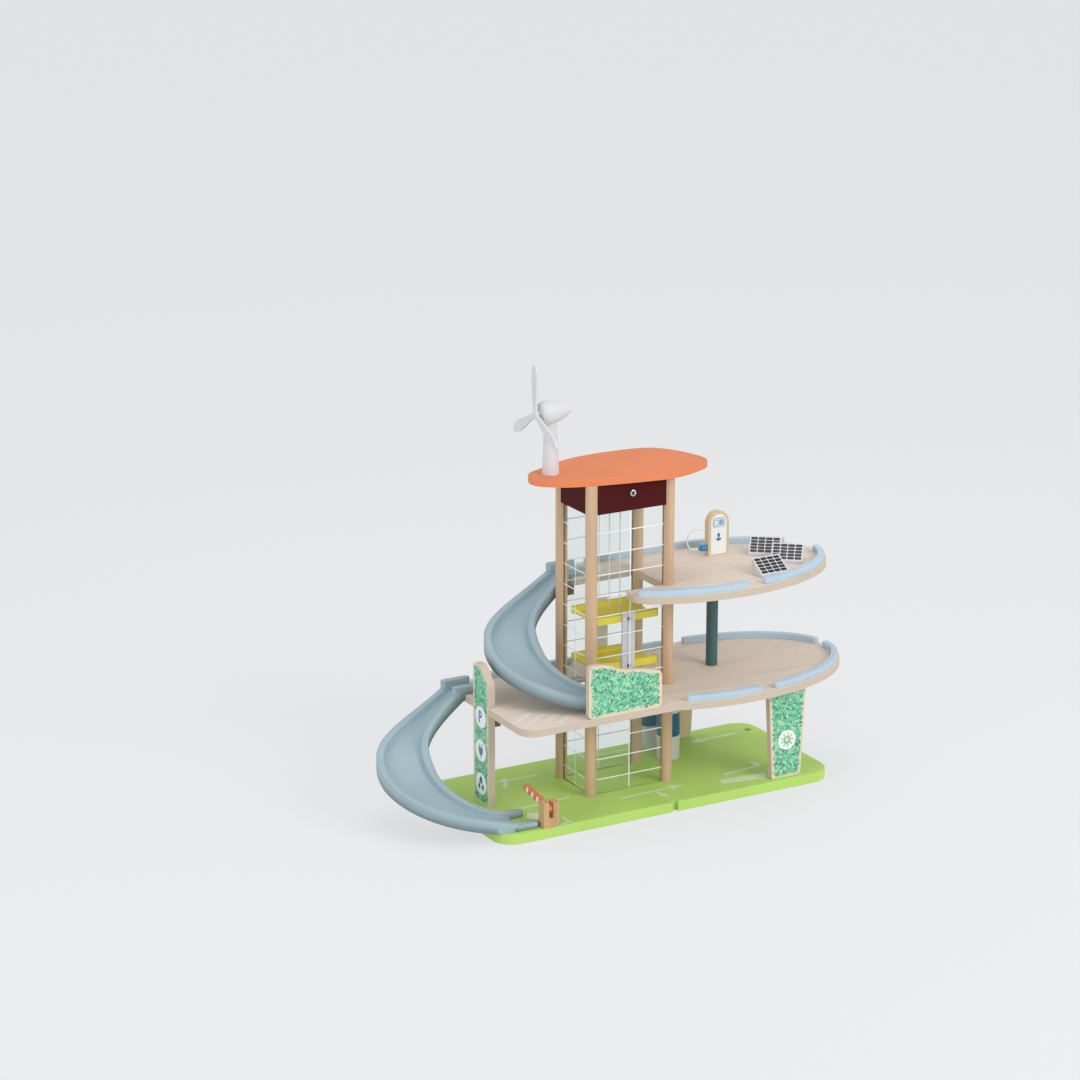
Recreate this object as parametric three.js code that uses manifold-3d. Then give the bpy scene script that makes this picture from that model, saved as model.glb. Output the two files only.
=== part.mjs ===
// Wooden toy parking garage: two decks round a glazed lift tower, spiral ramps, roof and street furniture.
// Millimetres. X runs along the base, Y to the back, Z up; the origin is the middle of the base's underside.
import * as THREE from "three";
import { mergeVertices } from "three/addons/utils/BufferGeometryUtils.js";
import Module from "manifold-3d";

const wasm = await Module();
wasm.setup();

// Driving dimensions.
const baseLength = 516;
const baseDepth = 225;
const baseThick = 14;
const baseCorner = 34;
const storey = 140;
const deckThick = 10;
const dowelRadius = 8;
const towerX = -23.4;
const towerY = 4;
const postSpanX = 118;
const postSpanY = 80;
const fitGap = 0.3;
const cutOver = 5;

// Levels and tower lines that follow from them.
const groundTop = baseThick;
const midTop = groundTop + storey;
const upperTop = midTop + storey;
const beamHigh = 41;
const beamThick = 10;
const towerAbove = 153;
const roofUnder = upperTop + towerAbove;
const roofThick = 9;
const beamUnder = roofUnder - beamHigh;
const postWest = towerX - postSpanX / 2;
const postEast = towerX + postSpanX / 2;
const postFront = towerY - postSpanY / 2;
const postBack = towerY + postSpanY / 2;

// Tower glazing.
const paneThick = 2;
const grooveDeep = 3;
const grooveWide = paneThick + 2 * fitGap;

// Base seam, its front notch and the two blind peg holes.
const seamX = 5;
const notchWide = 9;
const notchDeep = 6;
const pegHoleRadius = 5.5;
const pegHoleDeep = 6;
const pegHoleX = 240;
const pegHoleBackY = 79;
const pegHoleFrontY = -42;

// Deck plans: straight edges on the left run into an oval lobe on the right.
const midWest = -224;
const midFront = -114;
const deckBack = 106;
const midLobeY = -14;
const midLobe = { x: 115, y: midLobeY, rx: 200, ry: deckBack - midLobeY };
const upperWest = -62;
const upperLobeY = -1;
const upperLobe = { x: 115, y: upperLobeY, rx: 185, ry: deckBack - upperLobeY };
const upperTongueX = -31;
const upperTongueY = -56;
const upperTongueTurnY = -69;
const upperTongueEndX = -8;
const deckCorner = 26;
const smallCorner = 6;
const shaftEast = postEast - 4;

// Guard rails.
const guardWide = 9;
const guardHigh = 8;
const guardInset = 3;
const guardBackWest = -12;
const guardBackEast = 105;
const guardLeftWest = -165;
const guardLeftEast = -40;

// Prop under the upper deck.
const propX = 129;
const propY = 0;

// Ramps: centreline handles, trough section and fall.
const rampHead = { x: upperWest - fitGap, y: 75.5, reach: 38 };
const rampApex = { x: -167, y: 13, reachBack: 70, reachFront: 30 };
const rampFoot = { x: -58, y: -77, reach: 82 };
const rampShift = upperWest - midWest;
const rampWideHead = 44;
const rampWideFoot = 55;
const rampBendExtraWide = 27;
const rampWall = 11;
const rampWallHigh = 10.5;
const rampWallDrop = 4;
const rampDropFromShare = 0.7;
const rampFloorThick = 7;
const rampLip = 1.4;
const rampEdge = 2;
const rampProngHead = 26;
const rampProngFoot = 22.5;
const rampSteepShare = 0.66;
const rampSteps = 44;

// Front sign on the middle deck.
const signWest = -130;
const signEast = -19;
const signThick = 8;
const signLeftHigh = 73;
const signRightHigh = 50;
const signCorner = 7;

// Parking sign at the left end.
const totemEast = -214;
const totemThick = 10;
const totemFront = -11;
const totemBack = 31;
const totemBackTop = 208;
const totemFrontTop = 187;
const totemCrestY = 10;

// Wash legs under the lobe.
const legThick = 10;
const legFrontY = -106;
const legBackY = 93;
const legFrontX = 185;
const legBackX = 132;
const legTopHalf = 30;
const legFootHalf = 23;

// Upright rollers of the wash, on stub pins.
const rollerRadius = 16;
const rollerX = 84;
const rollerFrontY = 38;
const rollerPitch = 50;
const rollerPinRadius = 3;
const rollerPinLong = 5;
const rollerSocketDeep = rollerPinLong + 2 * fitGap;
const rollers = [
  { name: "wash_roller_front", y: rollerFrontY }, { name: "wash_roller_back", y: rollerFrontY + rollerPitch },
];

// Blocks that stiffen the deck ends.
const cleatWide = 12;
const cleatDeep = 34;
const cleatHigh = 20;

// Winch.
const winchRise = 24;
const winchZ = beamUnder + winchRise;
const winchTail = 58;
const winchKnobLong = 20;
const winchKnobRadius = 8.8;
const pivotRadius = 2;
const pivotHeadRadius = 4.6;
const pivotHeadLong = 2;
const turnGap = 0.5;

// Lift.
const trayWest = -72;
const trayEast = 26;
const railWide = 8;
const railHigh = 10;
const trayFloor = 4;
const liftLowZ = 183;
const liftTierRise = 66;
const platePad = 3;
const plateWide = 19.5;
const plateThick = 3;
const liftSideGap = 1.2;
const screwRadius = 2.6;
const screwProud = 0.7;
const liftCordRadius = 0.8;
const liftCordSpread = 14;

// Roof plan: left round end, front bow, right point, back bow.
const roofWestEnd = [[-112, 42], [-144, 24], [-149, -3], [-122, -28]];
const roofFrontBow = [[-78, -43], [-12, -56], [32, -60], [70, -49]];
const roofPoint = [[99, -30], [96, 10]];
const roofBackBow = [[68, 58], [18, 70], [-60, 65]];
const roofSteps = 56;

// Wind turbine.
const mastX = -117;
const mastY = 12;
const mastFootRadius = 11.5;
const mastTopRadius = 8.2;
const nacelleLong = 49;
const nacelleRadius = 16;
const nacelleAhead = 17;
const nacelleSeat = 5;
const nacelleNose = [[7.5, 0], [12.3, 1], [14.8, 4], [16, 9], [15.9, 15]];
const nacelleTail = [[14.6, 22], [12, 31], [7.6, 40.5], [3.2, 47]];
const hubRise = 83;
const hubRadius = 4.6;
const hubLong = 7;
const bladeLong = 66;
const bladeWide = 14;
const bladeNeckWide = 7;
const bladeFullAt = 49;
const bladeThick = 3;
const bladeCount = 3;

// Charging station with its cord and plug.
const chargerX = 166;
const chargerY = 50;
const chargerWide = 33;
const chargerThick = 10;
const chargerHigh = 62;
const chargerCordRadius = 1;
const plugLong = 13;
const plugRadius = 4.4;
const plugRise = 11;
const chargerCordRoute = [
  [149.2, 50, 331], [144, 50, 331.2], [129, 50, 333], [120, 50, 326],
  [119, 50, 314], [124, 50, 306.5], [132, 50, 305], [136.2, 50, 305],
];

// Solar panels.
const solarWide = 44;
const solarDeep = 27;
const solarBackHigh = 21;
const solarFrontHigh = 4;
const solarTurnShare = -0.105;
const solarBackX = 224;
const solarBackY = 17;
const solarMidX = 233;
const solarMidY = -25;
const solarFrontX = 181;
const solarFrontY = -63;
const solarPlaces = [
  { name: "solar_panel_back", x: solarBackX, y: solarBackY, turnShare: solarTurnShare },
  { name: "solar_panel_mid", x: solarMidX, y: solarMidY, turnShare: solarTurnShare },
  { name: "solar_panel_front", x: solarFrontX, y: solarFrontY, turnShare: 0 },
];

// Exit barrier.
const gateX = -185;
const gateWide = 23;
const gateDeep = 14;
const gateHigh = 35;
const gateSlotWide = 6.4;
const gateSlotDeep = 22;
const gatePivotHigh = 25;
const armLong = 66;
const armHigh = 10.5;
const armThick = 5.4;
const armPinRadius = 1.5;
const armLiftShare = 0.022;

// Colours, roughness and metalness by kind of surface.
const finishes = {
  green: [0xb2d06c, 0.5, 0], wood: [0xdcb98e, 0.6, 0], ply: [0xe4d3c1, 0.55, 0], acrylic: [0xe8eef0, 0.1, 0],
  maroon: [0x6b2b28, 0.5, 0], guard: [0xbcd4e2, 0.5, 0], ramp: [0xa3b8c4, 0.45, 0], prop: [0x4b6663, 0.5, 0],
  leaf: [0x3cb48c, 0.5, 0], orange: [0xf5a57c, 0.5, 0], white: [0xe6e6e4, 0.45, 0], yellow: [0xe8dc3c, 0.45, 0],
  blue: [0x2896c8, 0.45, 0], black: [0x26262a, 0.4, 0], steel: [0xc0c4c8, 0.3, 1],
  cord: [0xe2e2de, 0.8, 0], cleat: [0x7d6652, 0.65, 0],
};

const part = new THREE.Group();
part.name = "toy_parking_garage";

function material(kind) {
  const [color, roughness, metalness] = finishes[kind];
  return new THREE.MeshStandardMaterial({ color, roughness, metalness });
}

// Turns a three.js solid into a manifold one.
function solidOf(geometry) {
  const plain = geometry.clone();
  plain.deleteAttribute("normal");
  plain.deleteAttribute("uv");
  const welded = mergeVertices(plain);
  const mesh = new wasm.Mesh({
    numProp: 3,
    vertProperties: new Float32Array(welded.attributes.position.array),
    triVerts: new Uint32Array(welded.index.array),
  });
  return new wasm.Manifold(mesh);
}

function geometryOf(solid) {
  const mesh = solid.getMesh();
  const geometry = new THREE.BufferGeometry();
  const positions = [];
  for (let i = 0; i < mesh.vertProperties.length; i += mesh.numProp) {
    positions.push(mesh.vertProperties[i], mesh.vertProperties[i + 1], mesh.vertProperties[i + 2]);
  }
  geometry.setAttribute("position", new THREE.Float32BufferAttribute(positions, 3));
  geometry.setIndex(Array.from(mesh.triVerts));
  return geometry;
}

function addPiece(name, solid, kind) {
  const mesh = new THREE.Mesh(geometryOf(solid), material(kind));
  mesh.name = name;
  part.add(mesh);
}

function block(x0, x1, y0, y1, z0, z1) {
  const geometry = new THREE.BoxGeometry(x1 - x0, y1 - y0, z1 - z0);
  geometry.translate((x0 + x1) / 2, (y0 + y1) / 2, (z0 + z1) / 2);
  return solidOf(geometry);
}

function cylinder(radius, long, sides = 32) {
  return solidOf(new THREE.CylinderGeometry(radius, radius, long, sides).rotateX(Math.PI / 2));
}

function uprightRod(radius, x, y, z0, z1, sides = 32) {
  return cylinder(radius, z1 - z0, sides).translate([x, y, (z0 + z1) / 2]);
}

function alongY(radius, x, z, y0, y1, sides = 32) {
  return cylinder(radius, y1 - y0, sides).rotate([90, 0, 0]).translate([x, (y0 + y1) / 2, z]);
}

function alongX(radius, y, z, x0, x1, sides = 32) {
  return cylinder(radius, x1 - x0, sides).rotate([0, 90, 0]).translate([(x0 + x1) / 2, y, z]);
}

function slab(shape, z0, z1, curveSegments = 10) {
  const geometry = new THREE.ExtrudeGeometry(shape, { depth: z1 - z0, bevelEnabled: false, curveSegments });
  return solidOf(geometry.translate(0, 0, z0));
}

// Closed outline with every corner rounded by its own radius.
function roundedOutline(corners) {
  const shape = new THREE.Shape();
  corners.forEach(([x, y, radius], i) => {
    const here = new THREE.Vector2(x, y);
    const [bx, by] = corners[(i + corners.length - 1) % corners.length];
    const [ax, ay] = corners[(i + 1) % corners.length];
    const back = new THREE.Vector2(bx, by).sub(here).normalize();
    const ahead = new THREE.Vector2(ax, ay).sub(here).normalize();
    const reach = radius / Math.tan(Math.acos(back.dot(ahead)) / 2);
    const enter = here.clone().addScaledVector(back, reach);
    const leave = here.clone().addScaledVector(ahead, reach);
    if (i === 0) shape.moveTo(enter.x, enter.y);
    else shape.lineTo(enter.x, enter.y);
    if (radius > 0) shape.quadraticCurveTo(here.x, here.y, leave.x, leave.y);
  });
  shape.closePath();
  return shape;
}

function addBase() {
  const half = baseLength / 2;
  const side = baseDepth / 2;
  const corner = baseCorner;
  const outline = roundedOutline([
    [-half, -side, corner], [half, -side, corner], [half, side, corner], [-half, side, corner],
  ]);
  let board = slab(outline, 0, groundTop, 14);
  const notchWest = seamX - notchWide / 2;
  const notchEast = seamX + notchWide / 2;
  const notch = slab(roundedOutline([
    [notchWest, -side - cutOver, 0], [notchEast, -side - cutOver, 0],
    [notchEast, notchDeep - side, 1.5 * fitGap], [notchWest, notchDeep - side, 1.5 * fitGap],
  ]), -cutOver, groundTop + cutOver);
  board = board.subtract(notch);
  for (const y of [pegHoleBackY, pegHoleFrontY]) {
    board = board.subtract(uprightRod(pegHoleRadius, pegHoleX, y, groundTop - pegHoleDeep, groundTop + cutOver));
  }
  for (const { y } of rollers) {
    board = board.subtract(rollerSocket(y, groundTop - rollerSocketDeep, groundTop + cutOver));
  }
  const far = baseLength;
  const leftHalf = block(-far, seamX, -far, far, -cutOver, groundTop + cutOver);
  const rightHalf = block(seamX, far, -far, far, -cutOver, groundTop + cutOver);
  addPiece("base_left", board.intersect(leftHalf), "green");
  addPiece("base_right", board.intersect(rightHalf), "green");
}

const posts = [
  { name: "post_front_left", x: postWest, y: postFront, grooves: ["east", "north"] },
  { name: "post_front_right", x: postEast, y: postFront, grooves: ["west"] },
  { name: "post_back_right", x: postEast, y: postBack, grooves: ["west"] },
  { name: "post_back_left", x: postWest, y: postBack, grooves: ["east", "south"] },
];

// Full-height saw groove on one side of a post, open below the roof and on the base.
function grooveCut(post, side) {
  const inner = dowelRadius - grooveDeep;
  const outer = dowelRadius + cutOver;
  const half = grooveWide / 2;
  const reach = {
    east: [inner, outer, -half, half], west: [-outer, -inner, -half, half],
    north: [-half, half, inner, outer], south: [-half, half, -outer, -inner],
  }[side];
  return block(
    post.x + reach[0], post.x + reach[1], post.y + reach[2], post.y + reach[3],
    groundTop - cutOver, roofUnder + cutOver,
  );
}

function addPosts() {
  for (const post of posts) {
    let dowel = uprightRod(dowelRadius, post.x, post.y, groundTop, roofUnder);
    for (const side of post.grooves) dowel = dowel.subtract(grooveCut(post, side));
    addPiece(post.name, dowel, "wood");
  }
}

function addPanes() {
  const lap = dowelRadius - grooveDeep + fitGap;
  const half = paneThick / 2;
  const west = postWest + lap;
  const east = postEast - lap;
  addPiece("pane_front", block(west, east, postFront - half, postFront + half, groundTop, beamUnder), "acrylic");
  addPiece("pane_back", block(west, east, postBack - half, postBack + half, groundTop, beamUnder), "acrylic");
  addPiece("pane_left", block(
    postWest - half, postWest + half, postFront + lap, postBack - lap, groundTop, beamUnder,
  ), "acrylic");
}

function withoutPosts(solid, z0, z1) {
  let rest = solid;
  for (const post of posts) {
    rest = rest.subtract(uprightRod(dowelRadius + fitGap, post.x, post.y, z0 - cutOver, z1 + cutOver));
  }
  return rest;
}

function addBeams() {
  const half = beamThick / 2;
  const beam = (x0, x1, y0, y1) => withoutPosts(block(x0, x1, y0, y1, beamUnder, roofUnder), beamUnder, roofUnder);
  const pivotHole = alongY(pivotRadius + fitGap, towerX, winchZ, postFront - beamThick, postFront + beamThick, 20);
  const shaftHole = alongY(dowelRadius + fitGap, towerX, winchZ, postBack - beamThick, postBack + beamThick);
  const front = beam(postWest, postEast, postFront - half, postFront + half).subtract(pivotHole);
  const back = beam(postWest, postEast, postBack - half, postBack + half).subtract(shaftHole);
  addPiece("beam_front", front, "maroon");
  addPiece("beam_back", back, "maroon");
  addPiece("beam_left", beam(postWest - half, postWest + half, postFront, postBack), "maroon");
  addPiece("beam_right", beam(postEast - half, postEast + half, postFront, postBack), "maroon");
}

// Opening that the lift and the panes pass through.
function shaftCut(top) {
  const side = paneThick / 2 + fitGap;
  return block(
    postWest - side, shaftEast, postFront - side, postBack + side, top - deckThick - cutOver, top + cutOver,
  );
}

function addMidDeck() {
  const { x, y, rx, ry } = midLobe;
  const frontJoin = -Math.PI + Math.asin((y - midFront) / ry);
  const shape = new THREE.Shape();
  shape.moveTo(midWest + deckCorner, midFront);
  shape.lineTo(x + rx * Math.cos(frontJoin), midFront);
  shape.absellipse(x, y, rx, ry, frontJoin, Math.PI / 2, false, 0);
  shape.lineTo(midWest + smallCorner, deckBack);
  shape.quadraticCurveTo(midWest, deckBack, midWest, deckBack - smallCorner);
  shape.lineTo(midWest, midFront + deckCorner);
  shape.quadraticCurveTo(midWest, midFront, midWest + deckCorner, midFront);
  const bottom = midTop - deckThick;
  let deck = slab(shape, bottom, midTop, 40).subtract(shaftCut(midTop));
  deck = withoutPosts(deck, bottom, midTop);
  const totemSeat = block(
    midWest - cutOver, totemEast, totemFront - fitGap, totemBack + fitGap, bottom - cutOver, midTop + cutOver,
  );
  for (const { y } of rollers) {
    deck = deck.subtract(rollerSocket(y, bottom - cutOver, bottom + rollerSocketDeep));
  }
  addPiece("deck_middle", deck.subtract(totemSeat), "ply");
}

function addUpperDeck() {
  const { x, y, rx, ry } = upperLobe;
  const tongueIn = postFront - paneThick / 2 - fitGap;
  const frontJoin = -Math.PI + Math.acos((x - upperTongueEndX) / rx);
  const shape = new THREE.Shape();
  shape.moveTo(upperTongueX, upperTongueY);
  shape.quadraticCurveTo(
    upperTongueX, upperTongueTurnY, upperTongueEndX, y + ry * Math.sin(frontJoin),
  );
  shape.absellipse(x, y, rx, ry, frontJoin, Math.PI / 2, false, 0);
  shape.lineTo(upperWest + smallCorner, y + ry);
  shape.quadraticCurveTo(upperWest, y + ry, upperWest, y + ry - smallCorner);
  shape.lineTo(upperWest, postBack + paneThick / 2 + fitGap);
  shape.lineTo(shaftEast, postBack + paneThick / 2 + fitGap);
  shape.lineTo(shaftEast, tongueIn);
  shape.lineTo(upperTongueX + smallCorner, tongueIn);
  shape.quadraticCurveTo(upperTongueX, tongueIn, upperTongueX, tongueIn - smallCorner);
  shape.closePath();
  const bottom = upperTop - deckThick;
  addPiece("deck_upper", withoutPosts(slab(shape, bottom, upperTop, 40), bottom, upperTop), "ply");
}

function addProp() {
  addPiece("deck_prop", uprightRod(dowelRadius, propX, propY, midTop, upperTop - deckThick), "prop");
}

// Flat bar of even width along a plan curve, with half-round ends.
function ribbonShape(points, wide) {
  const half = wide / 2;
  const left = [];
  const right = [];
  points.forEach((point, i) => {
    const before = points[Math.max(i - 1, 0)];
    const after = points[Math.min(i + 1, points.length - 1)];
    const along = after.clone().sub(before).normalize();
    const side = new THREE.Vector2(-along.y, along.x).multiplyScalar(half);
    left.push(point.clone().add(side));
    right.push(point.clone().sub(side));
  });
  const roundEnd = (centre, from, count = 6) => {
    const arm = from.clone().sub(centre);
    return Array.from({ length: count - 1 }, (_, k) => (
      centre.clone().add(arm.clone().rotateAround(new THREE.Vector2(), -Math.PI * (k + 1) / count))
    ));
  };
  const last = points[points.length - 1];
  const outline = [
    ...left, ...roundEnd(last, left[left.length - 1]),
    ...right.reverse(), ...roundEnd(points[0], right[right.length - 1]),
  ];
  return new THREE.Shape(outline);
}

function lobePoints(lobe, from, to, count = 16) {
  const inset = guardInset + guardWide / 2;
  return Array.from({ length: count + 1 }, (_, i) => {
    const angle = THREE.MathUtils.degToRad(from + (to - from) * i / count);
    return new THREE.Vector2(
      lobe.x + (lobe.rx - inset) * Math.cos(angle), lobe.y + (lobe.ry - inset) * Math.sin(angle),
    );
  });
}

function backPoints(from, to) {
  const y = deckBack - guardInset - guardWide / 2;
  return [new THREE.Vector2(from, y), new THREE.Vector2(to, y)];
}

const guards = [
  { name: "guard_upper_front", top: upperTop, points: lobePoints(upperLobe, -141, -89) },
  { name: "guard_upper_tip", top: upperTop, points: lobePoints(upperLobe, -78, -3) },
  { name: "guard_upper_right", top: upperTop, points: lobePoints(upperLobe, 29, 85) },
  { name: "guard_upper_back", top: upperTop, points: backPoints(guardBackWest, guardBackEast) },
  { name: "guard_middle_front", top: midTop, points: lobePoints(midLobe, -118, -87) },
  { name: "guard_middle_tip", top: midTop, points: lobePoints(midLobe, -78, 0) },
  { name: "guard_middle_right", top: midTop, points: lobePoints(midLobe, 11, 81) },
  { name: "guard_middle_back", top: midTop, points: backPoints(guardBackWest, guardBackEast) },
  { name: "guard_middle_left", top: midTop, points: backPoints(guardLeftWest, guardLeftEast) },
];

function addGuards() {
  for (const guard of guards) {
    addPiece(guard.name, slab(ribbonShape(guard.points, guardWide), guard.top, guard.top + guardHigh), "guard");
  }
}

// Centreline of a ramp in plan, from the head on the deck above to the foot on the one below.
function rampPath() {
  const head = new THREE.Vector2(rampHead.x, rampHead.y);
  const apex = new THREE.Vector2(rampApex.x, rampApex.y);
  const foot = new THREE.Vector2(rampFoot.x, rampFoot.y);
  const path = new THREE.CurvePath();
  path.add(new THREE.CubicBezierCurve(
    head, new THREE.Vector2(head.x - rampHead.reach, head.y),
    new THREE.Vector2(apex.x, apex.y + rampApex.reachBack), apex,
  ));
  path.add(new THREE.CubicBezierCurve(
    apex, new THREE.Vector2(apex.x, apex.y - rampApex.reachFront),
    new THREE.Vector2(foot.x - rampFoot.reach, foot.y), foot,
  ));
  return path;
}

// Centre, outward direction, floor level, half width and wall height at each station down the ramp.
function rampStations() {
  const path = rampPath();
  const lengths = path.getCurveLengths();
  const total = lengths[lengths.length - 1];
  const fall = storey - rampLip;
  return Array.from({ length: rampSteps + 1 }, (_, i) => {
    const share = i / rampSteps;
    const target = share * total;
    const second = target > lengths[0];
    const curve = path.curves[second ? 1 : 0];
    const along = second ? (target - lengths[0]) / (total - lengths[0]) : target / lengths[0];
    const tangent = curve.getTangentAt(Math.min(along, 1));
    const wide = rampWideHead + (rampWideFoot - rampWideHead) * share;
    const drop = Math.max((share - rampDropFromShare) / (1 - rampDropFromShare), 0) ** 2;
    return {
      centre: curve.getPointAt(Math.min(along, 1)),
      out: new THREE.Vector2(tangent.y, -tangent.x),
      z: upperTop - fall * (share + rampSteepShare * share * (1 - share)),
      half: (wide + rampBendExtraWide * Math.sin(Math.PI * share) ** 2) / 2,
      wallHigh: rampWallHigh - rampWallDrop * drop,
    };
  });
}

// Trough section as pairs of outward place and height above the floor.
function rampSection({ half, wallHigh }) {
  const inner = half - rampWall;
  return [
    [half, -rampFloorThick], [half, wallHigh - rampEdge], [half - rampEdge, wallHigh],
    [inner + rampEdge, wallHigh], [inner, wallHigh - rampEdge], [inner, rampEdge], [inner - rampEdge, 0],
    [rampEdge - inner, 0], [-inner, rampEdge], [-inner, wallHigh - rampEdge], [-inner - rampEdge, wallHigh],
    [rampEdge - half, wallHigh], [-half, wallHigh - rampEdge], [-half, -rampFloorThick],
  ];
}

function sweepStations(stations) {
  const rings = stations.map((station) => rampSection(station).map(([side, up]) => new THREE.Vector3(
    station.centre.x + station.out.x * side, station.centre.y + station.out.y * side, station.z + up,
  )));
  const count = rings[0].length;
  const flat = rampSection(stations[0]).map(([side, up]) => new THREE.Vector2(side, up));
  const caps = THREE.ShapeUtils.triangulateShape(flat, []);
  const positions = rings.flat().flatMap((point) => point.toArray());
  const index = [];
  for (let i = 0; i + 1 < rings.length; i += 1) {
    for (let k = 0; k < count; k += 1) {
      const next = (k + 1) % count;
      const [a, b, c, d] = [i * count + k, i * count + next, (i + 1) * count + k, (i + 1) * count + next];
      index.push(a, c, b, b, c, d);
    }
  }
  const last = (rings.length - 1) * count;
  for (const [a, b, c] of caps) {
    index.push(a, b, c);
    index.push(last + a, last + c, last + b);
  }
  const geometry = new THREE.BufferGeometry();
  geometry.setAttribute("position", new THREE.Float32BufferAttribute(positions, 3));
  geometry.setIndex(index);
  return solidOf(geometry);
}

// Wall end that runs on past the floor and lies on the deck.
function prong(station, side, long, lift) {
  const y = station.centre.y + side * (station.half - rampWall / 2);
  const start = new THREE.Vector2(station.centre.x - rampWall, y);
  const end = new THREE.Vector2(station.centre.x + long - rampWall / 2, y);
  return slab(ribbonShape([start, end], rampWall), 0, station.wallHigh + lift);
}

function rampSolid() {
  const stations = rampStations();
  const head = stations[0];
  const foot = stations[rampSteps];
  let trough = sweepStations(stations);
  for (const side of [-1, 1]) {
    trough = trough.add(prong(head, side, rampProngHead, 0).translate([0, 0, upperTop]));
    trough = trough.add(prong(foot, side, rampProngFoot, rampLip).translate([0, 0, midTop]));
  }
  const far = baseLength;
  return trough.subtract(block(-far, far, -far, far, -cutOver, midTop));
}

function addRamps() {
  const ramp = rampSolid();
  addPiece("ramp_upper", ramp, "ramp");
  addPiece("ramp_lower", ramp.translate([-rampShift, 0, -storey]), "ramp");
}

function addFrontSign() {
  const wide = signEast - signWest;
  const shape = new THREE.Shape();
  shape.moveTo(signWest + signCorner, 0);
  shape.lineTo(signEast - signCorner, 0);
  shape.quadraticCurveTo(signEast, 0, signEast, signCorner);
  shape.lineTo(signEast, signRightHigh - signCorner);
  shape.quadraticCurveTo(signEast, signRightHigh, signEast - signCorner, signRightHigh + signCorner / 4);
  shape.bezierCurveTo(
    signEast - wide * 0.3, signRightHigh + signCorner * 1.5, signWest + wide * 0.5, signRightHigh + signCorner,
    signWest + wide * 0.35, signLeftHigh - signCorner,
  );
  shape.quadraticCurveTo(signWest + wide * 0.25, signLeftHigh, signWest + signCorner, signLeftHigh);
  shape.quadraticCurveTo(signWest, signLeftHigh, signWest, signLeftHigh - signCorner);
  shape.lineTo(signWest, signCorner);
  shape.quadraticCurveTo(signWest, 0, signWest + signCorner, 0);
  const board = slab(shape, 0, signThick).rotate([90, 0, 0]);
  addPiece("sign_front", board.translate([0, midFront + signThick, midTop]), "leaf");
}

function addTotem() {
  const outline = roundedOutline([
    [totemFront, groundTop, 0], [totemBack, groundTop, 0], [totemBack, totemBackTop, signCorner],
    [totemCrestY, totemBackTop, signCorner], [totemFront, totemFrontTop, signCorner],
  ]);
  const board = slab(outline, 0, totemThick).rotate([90, 0, 90]).translate([totemEast - totemThick, 0, 0]);
  addPiece("sign_parking", board, "leaf");
}

function addWashLeg(name, x, y) {
  const under = midTop - deckThick;
  const outline = roundedOutline([
    [-legFootHalf, groundTop, 0], [legFootHalf, groundTop, 0], [legTopHalf, under, 0], [-legTopHalf, under, 0],
  ]);
  addPiece(name, slab(outline, 0, legThick).rotate([90, 0, 0]).translate([x, y + legThick, 0]), "leaf");
}

// Blind hole for the stub pin of a roller.
function rollerSocket(y, z0, z1) {
  return uprightRod(rollerPinRadius + fitGap, rollerX, y, z0, z1, 20);
}

function addRollers() {
  const foot = groundTop + fitGap;
  const head = midTop - deckThick - fitGap;
  for (const { name, y } of rollers) {
    const pin = uprightRod(rollerPinRadius, rollerX, y, foot - rollerPinLong, head + rollerPinLong, 20);
    addPiece(name, uprightRod(rollerRadius, rollerX, y, foot, head, 48).add(pin), "white");
  }
}

function addCleats() {
  const cleat = (x, y, top) => block(
    x, x + cleatWide, y, y + cleatDeep, top - deckThick - cleatHigh, top - deckThick,
  );
  addPiece("cleat_middle", cleat(totemEast, totemFront + smallCorner, midTop), "cleat");
  addPiece("cleat_upper", cleat(upperWest, deckBack - smallCorner - cleatDeep, upperTop), "cleat");
}

function addWinch() {
  const front = postFront + beamThick / 2 + turnGap;
  const tail = postBack + beamThick / 2 + winchTail;
  const neck = tail - winchKnobLong;
  const shaft = alongY(dowelRadius - fitGap / 2, towerX, winchZ, front, neck);
  const profile = [
    new THREE.Vector2(0, 0), new THREE.Vector2(winchKnobRadius - smallCorner / 8, 0),
    new THREE.Vector2(winchKnobRadius, smallCorner / 8),
    new THREE.Vector2(winchKnobRadius, winchKnobLong - winchKnobRadius),
  ];
  for (let k = 1; k < 6; k += 1) {
    const angle = k / 6 * Math.PI / 2;
    profile.push(new THREE.Vector2(
      winchKnobRadius * Math.cos(angle), winchKnobLong - winchKnobRadius + winchKnobRadius * Math.sin(angle),
    ));
  }
  profile.push(new THREE.Vector2(0, winchKnobLong));
  const knob = solidOf(new THREE.LatheGeometry(profile, 32)).translate([towerX, neck, winchZ]);
  addPiece("winch_shaft", shaft, "wood");
  addPiece("winch_knob", knob, "wood");
  const face = postFront - beamThick / 2;
  const headBack = face - fitGap;
  const pivot = alongY(pivotRadius, towerX, winchZ, headBack, front, 20)
    .add(alongY(pivotHeadRadius, towerX, winchZ, headBack - pivotHeadLong, headBack, 24));
  addPiece("winch_pivot", pivot, "steel");
}

const liftFront = postFront + paneThick / 2 + liftSideGap;
const liftBack = postBack - paneThick / 2 - liftSideGap;

function railSolid(y0, z) {
  const y = y0 + railWide / 2;
  const end = railWide / 2;
  const points = [new THREE.Vector2(trayWest + end, y), new THREE.Vector2(trayEast - end, y)];
  return slab(ribbonShape(points, railWide), z, z + railHigh);
}

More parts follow.
